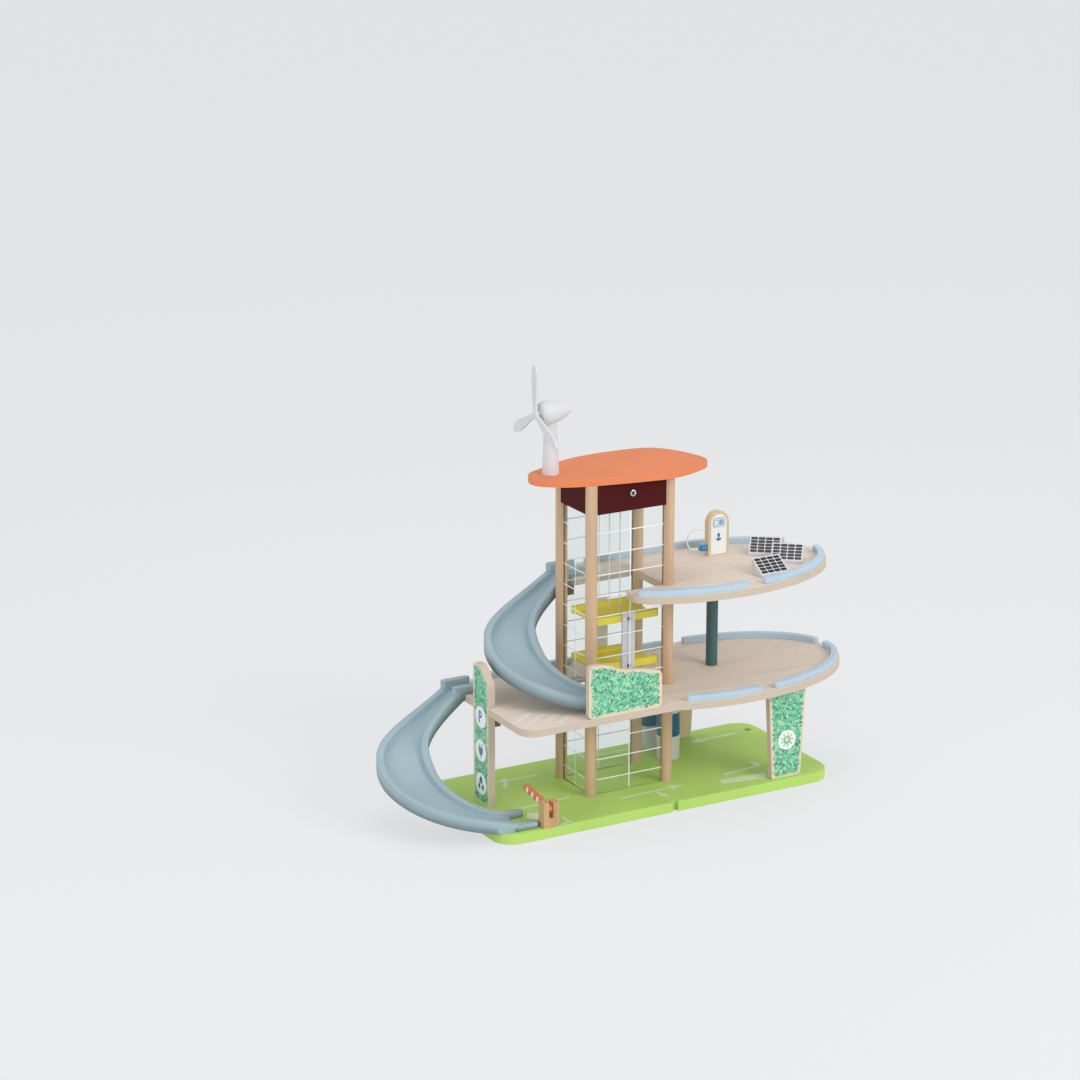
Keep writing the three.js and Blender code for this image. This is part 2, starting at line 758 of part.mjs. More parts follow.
function addLift() {
  const frontRail = liftFront + plateThick;
  const backRail = liftBack - plateThick - railWide;
  for (const [name, z] of [["lift_tray_lower", liftLowZ], ["lift_tray_upper", liftLowZ + liftTierRise]]) {
    const floor = block(
      trayWest + railWide / 2, trayEast - railWide / 2, frontRail + railWide / 2, backRail + railWide / 2,
      z, z + trayFloor,
    );
    addPiece(name, floor.add(railSolid(frontRail, z)).add(railSolid(backRail, z)), "yellow");
  }
  const bottom = liftLowZ + platePad / 3;
  const top = liftLowZ + liftTierRise + railHigh + platePad;
  const mid = (trayWest + trayEast) / 2;
  const plate = (y) => block(mid - plateWide / 2, mid + plateWide / 2, y, y + plateThick, bottom, top);
  let front = plate(liftFront);
  let back = plate(liftBack - plateThick);
  for (const z of [liftLowZ + railHigh / 2, liftLowZ + liftTierRise + railHigh / 2]) {
    front = front.add(alongY(screwRadius, mid, z, liftFront - screwProud, liftFront + plateThick / 2, 16));
    back = back.add(alongY(screwRadius, mid, z, liftBack - plateThick / 2, liftBack + screwProud, 16));
  }
  addPiece("lift_side_front", front, "white");
  addPiece("lift_side_back", back, "white");
}

function addLiftCords() {
  const foot = liftLowZ + liftTierRise + trayFloor;
  for (const [name, side] of [["lift_cord_front", -1], ["lift_cord_back", 1]]) {
    const y = towerY + side * liftCordSpread;
    addPiece(name, uprightRod(liftCordRadius, towerX, y, foot, winchZ - dowelRadius, 10), "cord");
  }
}

function addRoof() {
  const points = [...roofWestEnd, ...roofFrontBow, ...roofPoint, ...roofBackBow];
  const curve = new THREE.CatmullRomCurve3(points.map(([x, y]) => new THREE.Vector3(x, y, 0)), true, "centripetal");
  const outline = curve.getPoints(roofSteps).slice(0, -1).map(({ x, y }) => new THREE.Vector2(x, y));
  addPiece("roof", slab(new THREE.Shape(outline), roofUnder, roofUnder + roofThick), "orange");
}

function bladeShape() {
  const shape = new THREE.Shape();
  const neck = bladeNeckWide / 2;
  const full = bladeWide / 2;
  shape.moveTo(-neck, 0);
  shape.bezierCurveTo(-neck, bladeFullAt / 2, -full, bladeFullAt / 2, -full, bladeFullAt);
  shape.bezierCurveTo(-full, bladeLong - neck / 2, -neck / 2, bladeLong, 0, bladeLong);
  shape.bezierCurveTo(neck / 2, bladeLong, full, bladeLong - neck / 2, full, bladeFullAt);
  shape.bezierCurveTo(full, bladeFullAt / 2, neck, bladeFullAt / 2, neck, 0);
  return shape;
}

function addTurbine() {
  const roofTop = roofUnder + roofThick;
  const hubZ = roofTop + hubRise;
  const nacelleUnder = hubZ - nacelleRadius;
  const mastHigh = nacelleUnder - roofTop + nacelleSeat;
  const mast = solidOf(new THREE.CylinderGeometry(mastTopRadius, mastFootRadius, mastHigh, 32).rotateX(Math.PI / 2))
    .translate([mastX, mastY, roofTop + mastHigh / 2]);
  const line = [[0, 0], ...nacelleNose, ...nacelleTail, [0, nacelleLong]];
  const profile = line.map(([radius, along]) => new THREE.Vector2(radius, along));
  const nose = mastX - nacelleAhead;
  const egg = solidOf(new THREE.LatheGeometry(profile, 32)).rotate([0, 0, -90]).translate([nose, mastY, hubZ]);
  addPiece("turbine_mast", mast.subtract(egg), "white");
  addPiece("turbine_nacelle", egg, "white");
  const rotorX = nose - turnGap;
  let rotor = alongX(hubRadius, mastY, hubZ, rotorX - hubLong, rotorX, 20);
  const blade = slab(bladeShape(), 0, bladeThick, 6).rotate([90, 0, 90]);
  for (let i = 0; i < bladeCount; i += 1) {
    const turned = blade.rotate([i * 360 / bladeCount, 0, 0]);
    rotor = rotor.add(turned.translate([rotorX - hubLong, mastY, hubZ]));
  }
  addPiece("turbine_rotor", rotor, "white");
}

function addCharger() {
  const half = chargerWide / 2;
  const shape = new THREE.Shape();
  shape.moveTo(-half, 0);
  shape.lineTo(half, 0);
  shape.lineTo(half, chargerHigh - half);
  shape.absarc(0, chargerHigh - half, half, 0, Math.PI, false);
  shape.lineTo(-half, 0);
  const body = slab(shape, 0, chargerThick, 12).rotate([90, 0, 0])
    .translate([chargerX, chargerY + chargerThick / 2, upperTop]);
  addPiece("charger_body", body, "wood");
  const side = chargerX - half;
  const plug = alongX(plugRadius, chargerY, upperTop + plugRise, side - plugLong * 0.7, side, 20)
    .add(alongX(plugRadius / 2, chargerY, upperTop + plugRise, side - plugLong, side - plugLong / 2, 20));
  addPiece("charger_plug", plug, "blue");
  const points = chargerCordRoute.map((point) => new THREE.Vector3(...point));
  const route = new THREE.CatmullRomCurve3(points, false, "centripetal");
  const ring = new THREE.Shape();
  const sides = 8;
  for (let k = 0; k < sides; k += 1) {
    const angle = k / sides * 2 * Math.PI;
    const [x, y] = [chargerCordRadius * Math.cos(angle), chargerCordRadius * Math.sin(angle)];
    if (k === 0) ring.moveTo(x, y);
    else ring.lineTo(x, y);
  }
  ring.closePath();
  addPiece("charger_cord", solidOf(new THREE.ExtrudeGeometry(ring, { steps: 24, extrudePath: route })), "cord");
}

function addSolarPanels() {
  const outline = roundedOutline([
    [-solarDeep / 2, 0, 0], [solarDeep / 2, 0, 0],
    [solarDeep / 2, solarBackHigh, 0], [-solarDeep / 2, solarFrontHigh, 0],
  ]);
  for (const { name, x, y, turnShare } of solarPlaces) {
    const wedge = slab(outline, -solarWide / 2, solarWide / 2).rotate([90, 0, 90])
      .rotate([0, 0, turnShare * 360]).translate([x, y, upperTop]);
    addPiece(name, wedge, "white");
  }
}

function addBarrier() {
  const front = -baseDepth / 2;
  const top = groundTop + gateHigh;
  const pivotY = front + gateDeep / 2;
  const pivotZ = groundTop + gatePivotHigh;
  const slot = block(
    gateX - gateSlotWide / 2, gateX + gateSlotWide / 2, front - cutOver, front + gateDeep + cutOver,
    top - gateSlotDeep, top + cutOver,
  );
  const pinHalf = gateWide / 4;
  const pinHole = alongX(
    armPinRadius + fitGap, pivotY, pivotZ, gateX - pinHalf - fitGap, gateX + pinHalf + fitGap, 16,
  );
  const body = block(gateX - gateWide / 2, gateX + gateWide / 2, front, front + gateDeep, groundTop, top);
  addPiece("barrier_post", body.subtract(slot).subtract(pinHole), "wood");
  const line = [new THREE.Vector2(0, 0), new THREE.Vector2(armLong - armHigh / 2, 0)];
  const bar = slab(ribbonShape(line, armHigh), 0, armThick).rotate([90, 0, 90]).translate([-armThick / 2, 0, 0]);
  const arm = bar.add(alongX(armPinRadius, 0, 0, -pinHalf, pinHalf, 16)).rotate([armLiftShare * 360, 0, 0]);
  addPiece("barrier_arm", arm.translate([gateX, pivotY, pivotZ]), "orange");
}

addBase();
addPosts();
addPanes();
addBeams();
addMidDeck();
addUpperDeck();
addProp();
addGuards();
addRamps();
addFrontSign();
addTotem();
addWashLeg("wash_leg_front", legFrontX, legFrontY);
addWashLeg("wash_leg_back", legBackX, legBackY);
addRollers();
addCleats();
addWinch();
addLift();
addLiftCords();
addRoof();
addTurbine();
addCharger();
addSolarPanels();
addBarrier();

export default part;
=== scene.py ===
"""Wooden toy parking garage: materials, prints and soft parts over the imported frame."""

import math
import random

import bpy
from mathutils import Matrix, Vector
from mathutils.bvhtree import BVHTree


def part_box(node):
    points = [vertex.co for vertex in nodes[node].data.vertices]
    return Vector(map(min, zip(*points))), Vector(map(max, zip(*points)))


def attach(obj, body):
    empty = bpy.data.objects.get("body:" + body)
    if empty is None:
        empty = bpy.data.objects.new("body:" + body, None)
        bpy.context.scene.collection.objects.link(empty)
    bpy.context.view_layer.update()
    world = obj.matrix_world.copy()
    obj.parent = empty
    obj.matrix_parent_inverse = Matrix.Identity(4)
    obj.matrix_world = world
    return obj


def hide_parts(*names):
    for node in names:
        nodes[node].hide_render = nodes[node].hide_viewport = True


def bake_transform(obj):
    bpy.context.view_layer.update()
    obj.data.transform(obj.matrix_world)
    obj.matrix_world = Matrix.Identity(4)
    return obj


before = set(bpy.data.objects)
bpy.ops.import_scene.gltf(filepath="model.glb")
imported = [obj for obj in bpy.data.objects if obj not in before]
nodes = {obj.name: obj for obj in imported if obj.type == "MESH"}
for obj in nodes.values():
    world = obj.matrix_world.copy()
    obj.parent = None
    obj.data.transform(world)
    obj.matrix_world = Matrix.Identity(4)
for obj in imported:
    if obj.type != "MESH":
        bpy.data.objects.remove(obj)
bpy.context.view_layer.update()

MM = 0.001
X, Y, Z = range(3)
# Height of one print layer over the face that it lies on.
INK_LIFT = 0.08 * MM
# Layers of the prints: leaves reach up to LEAVES_TOP, and badges lie over them.
BACKING, FIRST, LEAVES_TOP, SECOND, BADGE, BADGE_MARK = 0.5, 1, 1.8, 2, 4, 5
# Linear colour of the wood that shows through where paint is rubbed off.
BARE_WOOD = (0.86, 0.78, 0.66, 1)

# Camera, fitted to the photograph.
CAMERA_AZIMUTH = -28.99
CAMERA_ELEVATION = 16.69
CAMERA_ROLL = -0.07
CAMERA_DISTANCE = 4.23971
CAMERA_TARGET = Vector((-0.13424, 0.00958, 0.36793))
CAMERA_LENS = 107.3
CAMERA_SENSOR = 36
CAMERA_REACH = 100

# Stage: a wide floor just under the part, and lamps that look at the part's middle.
FLOOR_REACH = 40
FLOOR_DROP = 0.0004
FLOOR_GLOW = (0.82, 0.83, 0.84, 1)
GLOW_SHARE = 0.72
WORLD_COLOUR = (0.8, 0.815, 0.835, 1)
WORLD_STRENGTH = 0.9
LAMP_AIM = Vector((0, 0, 0.25))


def linear(code):
    """Linear colour of an sRGB hex code."""
    out = []
    for i in (0, 2, 4):
        c = int(code[i : i + 2], 16) / 255
        out.append(c / 12.92 if c <= 0.04045 else ((c + 0.055) / 1.055) ** 2.4)
    return (*out, 1.0)


class Shader:
    """A material, with short ways to add and join its nodes."""

    def __init__(self, name):
        self.mat = bpy.data.materials.new(name)
        self.mat.use_nodes = True
        self.tree = self.mat.node_tree
        self.bsdf = self.tree.nodes["Principled BSDF"]
        self.coords = self.add("ShaderNodeTexCoord").outputs["Object"]

    def add(self, kind, inputs=None, **settings):
        made = self.tree.nodes.new(kind)
        for key, value in settings.items():
            setattr(made, key, value)
        for key, value in (inputs or {}).items():
            self.feed(made.inputs[key], value)
        return made

    def feed(self, socket, value):
        if isinstance(value, bpy.types.NodeSocket):
            self.tree.links.new(value, socket)
        else:
            socket.default_value = value

    def set(self, **values):
        for key, value in values.items():
            self.feed(self.bsdf.inputs[key.replace("_", " ")], value)

    def noise(self, scale, detail=4, rough=0.5, shift=(0, 0, 0), distortion=0.0):
        """Noise whose scale per metre may differ by axis."""
        per_axis = scale if hasattr(scale, "__len__") else (scale,) * 3
        places = {0: self.coords, "Location": shift, "Scale": per_axis}
        mapped = self.add("ShaderNodeMapping", places)
        made = self.add(
            "ShaderNodeTexNoise",
            {"Vector": mapped.outputs[0], "Scale": 1.0, "Detail": detail, "Roughness": rough,
             "Distortion": distortion},
        )
        return made.outputs[0]

    def ramp(self, value, stops):
        """Colours of a value, from pairs of place and colour."""
        made = self.add("ShaderNodeValToRGB", {0: value})
        bar = made.color_ramp
        while len(bar.elements) < len(stops):
            bar.elements.new(0.5)
        for element, (place, colour) in zip(bar.elements, stops):
            element.position, element.color = place, colour
        return made.outputs[0]

    def tones(self, value, code, *steps):
        """Lighter and darker tones of one colour, from pairs of place and factor."""
        return self.ramp(value, [(place, shade(code, factor)) for place, factor in steps])

    def span(self, value, low, high, to_low=0.0, to_high=1.0):
        """A value's range from low to high, stretched to another one and held at its ends."""
        made = self.add(
            "ShaderNodeMapRange",
            {0: value, "From Min": low, "From Max": high, "To Min": to_low, "To Max": to_high},
        )
        return made.outputs[0]

    def calc(self, how, a, b=0.0):
        return self.add("ShaderNodeMath", {0: a, 1: b}, operation=how).outputs[0]

    def plus(self, a, b, share):
        """The first value with a share of the second."""
        return self.calc("ADD", a, self.calc("MULTIPLY", b, share))

    def mix(self, share, a, b):
        return self.add("ShaderNodeMix", {0: share, 6: a, 7: b}, data_type="RGBA").outputs[2]

    def stain(self, body, mask, low, high, share, colour):
        """Lays a colour over the body, up to a share, as the mask goes from low to high."""
        return self.mix(self.span(mask, low, high, 0.0, share), body, colour)

    def axes(self):
        """The place on the model along x, y and z."""
        return self.add("ShaderNodeSeparateXYZ", {0: self.coords}).outputs

    def bump(self, height, strength, distance):
        relief = {"Height": height, "Strength": strength, "Distance": distance}
        made = self.add("ShaderNodeBump", relief)
        self.feed(self.bsdf.inputs["Normal"], made.outputs[0])

    def edge_share(self):
        """High where an edge is near, from the rounded normal against the true one."""
        soft = self.add("ShaderNodeBevel", {"Radius": 0.9 * MM}, samples=4).outputs[0]
        true = self.add("ShaderNodeNewGeometry").outputs["Normal"]
        likeness = self.add("ShaderNodeVectorMath", {0: soft, 1: true}, operation="DOT_PRODUCT")
        return self.span(likeness.outputs["Value"], 0.995, 0.80)

    def show(self, surface):
        """Puts another surface than the plain one at the material's output."""
        self.tree.links.new(surface, self.tree.nodes["Material Output"].inputs["Surface"])


def shade(code, factor):
    """The colour of a hex code, made lighter or darker."""
    r, g, b, a = linear(code)
    return (min(r * factor, 1), min(g * factor, 1), min(b * factor, 1), a)


def grain_scale(axis, along, across):
    """Noise scale by axis, for grain that runs along one of them."""
    return tuple(along if i == axis else across for i in range(3))


def natural_wood(name, code, axis, contrast=0.16):
    """Close-grained light hardwood with fine pores along one axis."""
    s = Shader(name)
    bands = s.noise(grain_scale(axis, 5, 120), 5, 0.55, distortion=0.35)
    pores = s.noise(grain_scale(axis, 60, 1500), 2, 0.6, shift=(3, 1, 2))
    cloud = s.noise(14, 2, shift=(5, 2, 7))
    body = s.tones(bands, code, (0.28, 1 - contrast), (0.5, 1.0), (0.74, 1 + contrast * 0.7))
    body = s.stain(body, cloud, 0.3, 0.75, 0.25, shade(code, 0.88))
    body = s.stain(body, pores, 0.62, 0.72, 0.35, shade(code, 0.68))
    s.set(Base_Color=body, Roughness=s.span(bands, 0.3, 0.7, 0.48, 0.62),
          Coat_Weight=0.12, Coat_Roughness=0.35)
    s.bump(s.plus(bands, pores, 0.8), 0.12, 0.00025)
    return s.mat


def plywood(name, code, edge_code, layers_axis, layer, start):
    """Varnished plywood: long grain on the faces and thin layers along the edges."""
    s = Shader(name)
    bands = s.noise((7, 75, 75), 6, 0.6, distortion=0.6)
    fine = s.noise((40, 700, 700), 3, 0.6, shift=(2, 5, 1))
    face = s.tones(bands, code, (0.3, 0.91), (0.52, 1.0), (0.75, 1.06))
    face = s.stain(face, fine, 0.55, 0.75, 0.22, shade(code, 0.84))
    place = s.calc("SUBTRACT", s.axes()[layers_axis], start)
    wave = s.calc("FRACT", s.calc("DIVIDE", place, 2 * layer))
    dark_layer = s.span(s.calc("ABSOLUTE", s.calc("SUBTRACT", wave, 0.5)), 0.22, 0.27)
    fibre = s.noise((500, 500, 220), 3, 0.65)
    edge = s.mix(s.calc("MULTIPLY", dark_layer, 0.45), linear(edge_code), shade(edge_code, 0.8))
    edge = s.stain(edge, fibre, 0.45, 0.7, 0.25, shade(edge_code, 0.72))
    normal = s.add("ShaderNodeNewGeometry").outputs["Normal"]
    side = s.add("ShaderNodeSeparateXYZ", {0: normal}).outputs[layers_axis]
    is_face = s.span(s.calc("ABSOLUTE", side), 0.6, 0.8)
    s.set(Base_Color=s.mix(is_face, edge, face), Roughness=s.span(bands, 0.3, 0.7, 0.56, 0.7),
          Specular_IOR_Level=0.3)
    s.bump(s.calc("ADD", bands, fine), 0.1, 0.0002)
    return s.mat


def painted_wood(name, code, axis=X, rough=0.54, wear=0.35, gloss=0.35):
    """Satin paint over wood: faint grain, brush unevenness and paler rubbed edges."""
    s = Shader(name)
    grain = s.noise(grain_scale(axis, 9, 260), 5, 0.6, distortion=0.3)
    cloud = s.noise(16, 3, shift=(1, 8, 3))
    speck = s.noise(900, 2, shift=(4, 4, 1))
    body = s.tones(cloud, code, (0.25, 0.94), (0.55, 1.0), (0.8, 1.05))
    body = s.stain(body, grain, 0.52, 0.72, 0.16, shade(code, 0.82))
    rubbed = s.mix(0.55, linear(code), BARE_WOOD)
    patches = s.span(s.noise(70, 4, shift=(9, 1, 2)), 0.4, 0.7, 0.1, wear)
    rub = s.calc("MULTIPLY", s.edge_share(), patches)
    s.set(Base_Color=s.mix(rub, body, rubbed), Specular_IOR_Level=gloss,
          Roughness=s.span(speck, 0.3, 0.7, rough - 0.06, rough + 0.08))
    s.bump(s.plus(grain, speck, 0.35), 0.14, 0.0002)
    return s.mat


def moulded_plastic(name, code):
    """Semi-matte moulded plastic with a fine eroded texture and faint flow marks."""
    s = Shader(name)
    cloud = s.noise(9, 3, shift=(2, 3, 1))
    fine = s.noise(1600, 2, 0.6)
    coarse = s.noise(220, 3, shift=(1, 1, 6))
    body = s.tones(cloud, code, (0.25, 0.93), (0.55, 1.0), (0.8, 1.07))
    body = s.stain(body, coarse, 0.5, 0.75, 0.12, shade(code, 0.85))
    s.set(Base_Color=body, Roughness=s.span(coarse, 0.3, 0.7, 0.4, 0.52), Specular_IOR_Level=0.45)
    s.bump(s.plus(fine, coarse, 0.7), 0.12, 0.00015)
    return s.mat


def clear_sheet(name):
    """Clear acrylic: see-through, with a gloss that grows at a slant and faint surface ripple."""
    s = Shader(name)
    ripple = s.noise(25, 2)
    s.set(Base_Color=(0.93, 0.96, 0.97, 1), Metallic=1.0,
          Roughness=s.span(ripple, 0.3, 0.7, 0.04, 0.08))
    see = s.add("ShaderNodeBsdfTransparent", {0: (0.975, 0.988, 0.985, 1)}).outputs[0]
    inside = s.add("ShaderNodeNewGeometry").outputs["Backfacing"]
    slant = s.add("ShaderNodeFresnel", {"IOR": 1.45}).outputs[0]
    shine = s.calc("MULTIPLY", slant, s.calc("SUBTRACT", 1.0, inside))
    share = s.calc("MULTIPLY", shine, 0.9)
    s.show(s.add("ShaderNodeMixShader", {0: share, 1: see, 2: s.bsdf.outputs[0]}).outputs[0])
    return s.mat


def metal(name, code, rough=0.28):
    """Drawn metal with fine scratches."""
    s = Shader(name)
    scratch = s.noise((300, 2500, 300), 3, 0.6)
    s.set(Base_Color=s.tones(scratch, code, (0.3, 0.85), (0.7, 1.1)), Metallic=1.0,
          Roughness=s.span(scratch, 0.3, 0.7, rough - 0.06, rough + 0.1))
    s.bump(scratch, 0.06, 0.0001)
    return s.mat


def twisted_cord(name, code, pitch=0.0022):
    """Laid cord: strands that slant round it, one to each pitch of its length."""
    s = Shader(name)
    x, y, z = s.axes()
    run = s.calc("DIVIDE", s.plus(z, x, 0.6), pitch)
    turn = s.calc("ADD", run, s.calc("DIVIDE", y, 1.6 * MM))
    strand = s.calc("ABSOLUTE", s.calc("SUBTRACT", s.calc("FRACT", turn), 0.5))
    fuzz = s.noise(2500, 3, 0.7)
    # Each groove between the strands is darkened: painted shade.
    body = s.mix(s.span(strand, 0.05, 0.3), shade(code, 0.84), linear(code))
    body = s.stain(body, fuzz, 0.4, 0.7, 0.2, shade(code, 0.8))
    s.set(Base_Color=body, Roughness=0.85, Sheen_Weight=0.2)
    s.bump(s.plus(strand, fuzz, 0.3), 0.5, 0.0003)
    return s.mat


def printed_ink(name, code, under=None, cover=1.0, rough=0.42):
    """Screen-printed ink, thin in places, where the colour under it shows if one is named."""
    s = Shader(name)
    thin = s.noise(420, 4, 0.65, shift=(6, 2, 2))
    patch = s.noise(38, 3, shift=(2, 7, 4))
    ink = s.tones(patch, code, (0.3, 0.95), (0.7, 1.03))
    if under:
        full = s.span(thin, 0.42, 0.6, cover, cover * 0.55)
        keep = s.calc("MULTIPLY", full, s.span(patch, 0.3, 0.7, 0.82, 1.0))
        ink = s.mix(keep, linear(under), ink)
    else:
        ink = s.stain(ink, thin, 0.55, 0.75, 0.12, shade(code, 0.8))
    s.set(Base_Color=ink, Roughness=s.span(thin, 0.3, 0.7, rough - 0.05, rough + 0.08))
    s.bump(thin, 0.08, 0.0001)
    return s.mat


def leaf_ink(name, codes):
    """Ink whose colour follows each leaf's tint, with pale and dark mottling."""
    s = Shader(name)
    tint = s.add("ShaderNodeAttribute", attribute_name="tint").outputs["Fac"]
    body = s.ramp(tint, [(i / (len(codes) - 1), linear(code)) for i, code in enumerate(codes)])
    pale = s.noise(650, 4, 0.6)
    dark = s.noise(300, 3, shift=(4, 4, 4))
    body = s.stain(body, pale, 0.45, 0.7, 0.35, linear("d5f0dc"))
    body = s.stain(body, dark, 0.5, 0.72, 0.3, linear("1c5a48"))
    s.set(Base_Color=body, Roughness=s.span(pale, 0.3, 0.7, 0.36, 0.46))
    s.bump(pale, 0.06, 0.0001)
    return s.mat


def banded_paint(name, code, band_code, start, share, pitch):
    """Paint over upright grain; a second colour fills a share of each pitch above a start."""
    s = Shader(name)
    waver = s.span(s.noise(45, 3, shift=(7, 7, 1)), 0.3, 0.7, -0.0003, 0.0003)
    height = s.calc("ADD", s.axes()[Z], waver)
    step = s.calc("DIVIDE", s.calc("SUBTRACT", height, start), pitch)
    inside = s.calc("LESS_THAN", s.calc("FRACT", step), share)
    begun = s.calc("GREATER_THAN", step, 0.0)
    grain = s.noise(grain_scale(Z, 12, 260), 5, 0.6)
    speck = s.noise(800, 2, shift=(1, 4, 1))
    body = s.stain(linear(code), grain, 0.5, 0.72, 0.18, shade(code, 0.8))
    band = s.stain(linear(band_code), grain, 0.5, 0.72, 0.15, shade(band_code, 0.8))
    s.set(Base_Color=s.mix(s.calc("MULTIPLY", inside, begun), body, band),
          Roughness=s.span(speck, 0.3, 0.7, 0.4, 0.52))
    s.bump(grain, 0.12, 0.0002)
    return s.mat


def turns(count):
    """Angles of a full turn in equal steps."""
    return [2 * math.pi * i / count for i in range(count)]


def polar(x, y, radius, angle):
    """The point at a distance and an angle from x and y."""
    return x + radius * math.cos(angle), y + radius * math.sin(angle)


def rounded_rect(x0, y0, x1, y1, radius):
    """Outline of a rectangle with round corners."""
    steps = 8
    corners = (
        (x1 - radius, y0 + radius, -90),
        (x1 - radius, y1 - radius, 0),
        (x0 + radius, y1 - radius, 90),
        (x0 + radius, y0 + radius, 180),
    )
    return [
        polar(x, y, radius, math.radians(start + 90 * i / steps))
        for x, y, start in corners for i in range(steps + 1)
    ]


class Flat:
    """Thin printed shapes on one plane of the model, with plan points in millimetres."""

    def __init__(self, origin, across, up):
        self.origin, self.across, self.up = Vector(origin), Vector(across), Vector(up)
        self.normal = self.across.cross(self.up).normalized()
        self.verts, self.faces, self.tints = [], [], []

    def blank(self):
        """An empty sheet on the same plane."""
        return Flat(self.origin, self.across, self.up)

    def place(self, x, y, layer=FIRST):
        return self.origin + (self.across * x + self.up * y) * MM + self.normal * INK_LIFT * layer

    def poly(self, points, layer=FIRST, tint=0.0):
        start = len(self.verts)
        self.verts += [self.place(x, y, layer) for x, y in points]
        self.faces.append(range(start, start + len(points)))
        self.tints.append(tint)

    def rect(self, x0, y0, x1, y1, layer=FIRST, tint=0.0):
        self.poly([(x0, y0), (x1, y0), (x1, y1), (x0, y1)], layer, tint)

    def line(self, start, end, width, layer=FIRST):
        a, b = Vector(start), Vector(end)
        side = Vector((-(b - a).y, (b - a).x)).normalized() * width / 2
        self.poly([a - side, b - side, b + side, a + side], layer)

    def arrow(self, start, end, width, head, layer=FIRST):
        a, b = Vector(start), Vector(end)
        along = (b - a).normalized()
        side = Vector((-along.y, along.x)) * head * 0.43
        neck = b - along * head
        self.line(a, neck, width, layer)
        self.poly([neck - side, b, neck + side], layer)

    def disc(self, x, y, radius, layer=FIRST, count=48):
        self.poly([polar(x, y, radius, t) for t in turns(count)], layer)

    def ring(self, x, y, inner, outer, start, end, layer=FIRST):
        """A share of a ring, from one angle to another in degrees."""
        count = 32
        angles = [math.radians(start + (end - start) * i / count) for i in range(count + 1)]
        for a, b in zip(angles, angles[1:]):
            corners = ((inner, a), (outer, a), (outer, b), (inner, b))
            self.poly([polar(x, y, radius, t) for radius, t in corners], layer)

    def rounded(self, x0, y0, x1, y1, radius, layer=FIRST):
        self.poly(rounded_rect(x0, y0, x1, y1, radius), layer)

    def frame(self, x0, y0, x1, y1, radius, width, layer=FIRST):
        """Outline of a rectangle with round corners, of some width."""
        outer = rounded_rect(x0, y0, x1, y1, radius)
        inner = rounded_rect(x0 + width, y0 + width, x1 - width, y1 - width, radius - width)
        for i in range(len(outer)):
            k = (i + 1) % len(outer)
            self.poly([outer[i], outer[k], inner[k], inner[i]], layer)

    def build(self, name, material, body="garage"):
        mesh = bpy.data.meshes.new(name)
        mesh.from_pydata(self.verts, [], [list(face) for face in self.faces])
        attribute = mesh.attributes.new("tint", "FLOAT", "FACE")
        attribute.data.foreach_set("value", self.tints)
        settle(name, mesh, material, body)


def settle(name, mesh, material, body, smooth=False):
    """A new piece from its mesh, riding on a body if one is named."""
    mesh.materials.append(material)
    if smooth:
        mesh.shade_smooth()
    made = bpy.data.objects.new(name, mesh)
    bpy.context.scene.collection.objects.link(made)
    if body:
        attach(made, body)
    return made


def dress(names, material, bevel, sharp=35):
    """Gives CAD nodes a material, and a bevel in millimetres on edges sharper than an angle."""
    for name in names.split():
        piece = nodes[name]
        mesh = piece.data
        mesh.materials.clear()
        mesh.materials.append(material)
        mesh.shade_smooth()
        weld = piece.modifiers.new("weld", "WELD")
        weld.merge_threshold = 0.002 * MM
        if bevel:
            soft = piece.modifiers.new("soft", "BEVEL")
            soft.width = bevel * MM
            soft.segments = 2
            soft.limit_method = "ANGLE"
            soft.angle_limit = math.radians(sharp)
        mesh.set_sharp_from_angle(angle=math.radians(sharp))
        even = piece.modifiers.new("even", "WEIGHTED_NORMAL")
        even.keep_sharp = not bevel
        even.weight = 100


def box_mm(name):
    low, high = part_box(name)
    return [v / MM for v in low], [v / MM for v in high]


def top_of(name):
    """A sheet on a node's upper face."""
    return Flat((0, 0, box_mm(name)[1][2] * MM), (1, 0, 0), (0, 1, 0))


# Finishes.
GREEN, PLY, PLY_EDGE, DOWEL = "b5d96c", "ded0c1", "cfbeab", "c9aa88"
RAMP, GUARD, ORANGE, MAROON = "9cb2ba", "b6ccdb", "e28252", "4a0f0f"
YELLOW, WHITE, BLUE, TEAL = "ebdc3c", "d5d5d6", "2a8fc4", "496769"
SIGN_FACE, ROLLER_BLUE = "e3d0b4", "16668c"
LEAVES = ["1f6a52", "2f8f6c", "4ab58e", "7fd0b0", "b9e2a0", "5cc39c"]
# Thickness of one plywood layer: on the decks and the parking sign, and on the thinner boards.
DECK_LAYER, BOARD_LAYER = 0.00167, 0.00133
# The wash rollers' blue bands: the start of the lowest, the blue share of each pitch, the pitch.
ROLLER_BAND = (49 * MM, 0.34, 99 * MM)

green_paint = painted_wood("green_paint", GREEN)
ply_flat = plywood("ply_flat", PLY, PLY_EDGE, Z, DECK_LAYER, start=0.004)
ply_front = plywood("ply_upright", SIGN_FACE, PLY_EDGE, Y, BOARD_LAYER, start=0.0)
ply_side = plywood("ply_side", SIGN_FACE, PLY_EDGE, X, DECK_LAYER, start=0.0)
dowel_wood = natural_wood("dowel_wood", DOWEL, Z)
shaft_wood = natural_wood("shaft_wood", "d9a878", Y)
block_wood = natural_wood("block_wood", "c9a272", Z)
charger_wood = natural_wood("charger_wood", "dcc4a0", Z, contrast=0.1)
# The cleats' wood colour is darkened for the shade under the decks: painted shade.
cleat_wood_painted_shade = natural_wood("cleat_wood_painted_shade", "7a6350", Y)
maroon_paint = painted_wood("maroon_paint", MAROON, rough=0.62, wear=0.15, gloss=0.12)
orange_paint = painted_wood("orange_paint", ORANGE)
guard_paint = painted_wood("guard_paint", GUARD)
prop_paint = painted_wood("prop_paint", TEAL, axis=Z, wear=0.15)
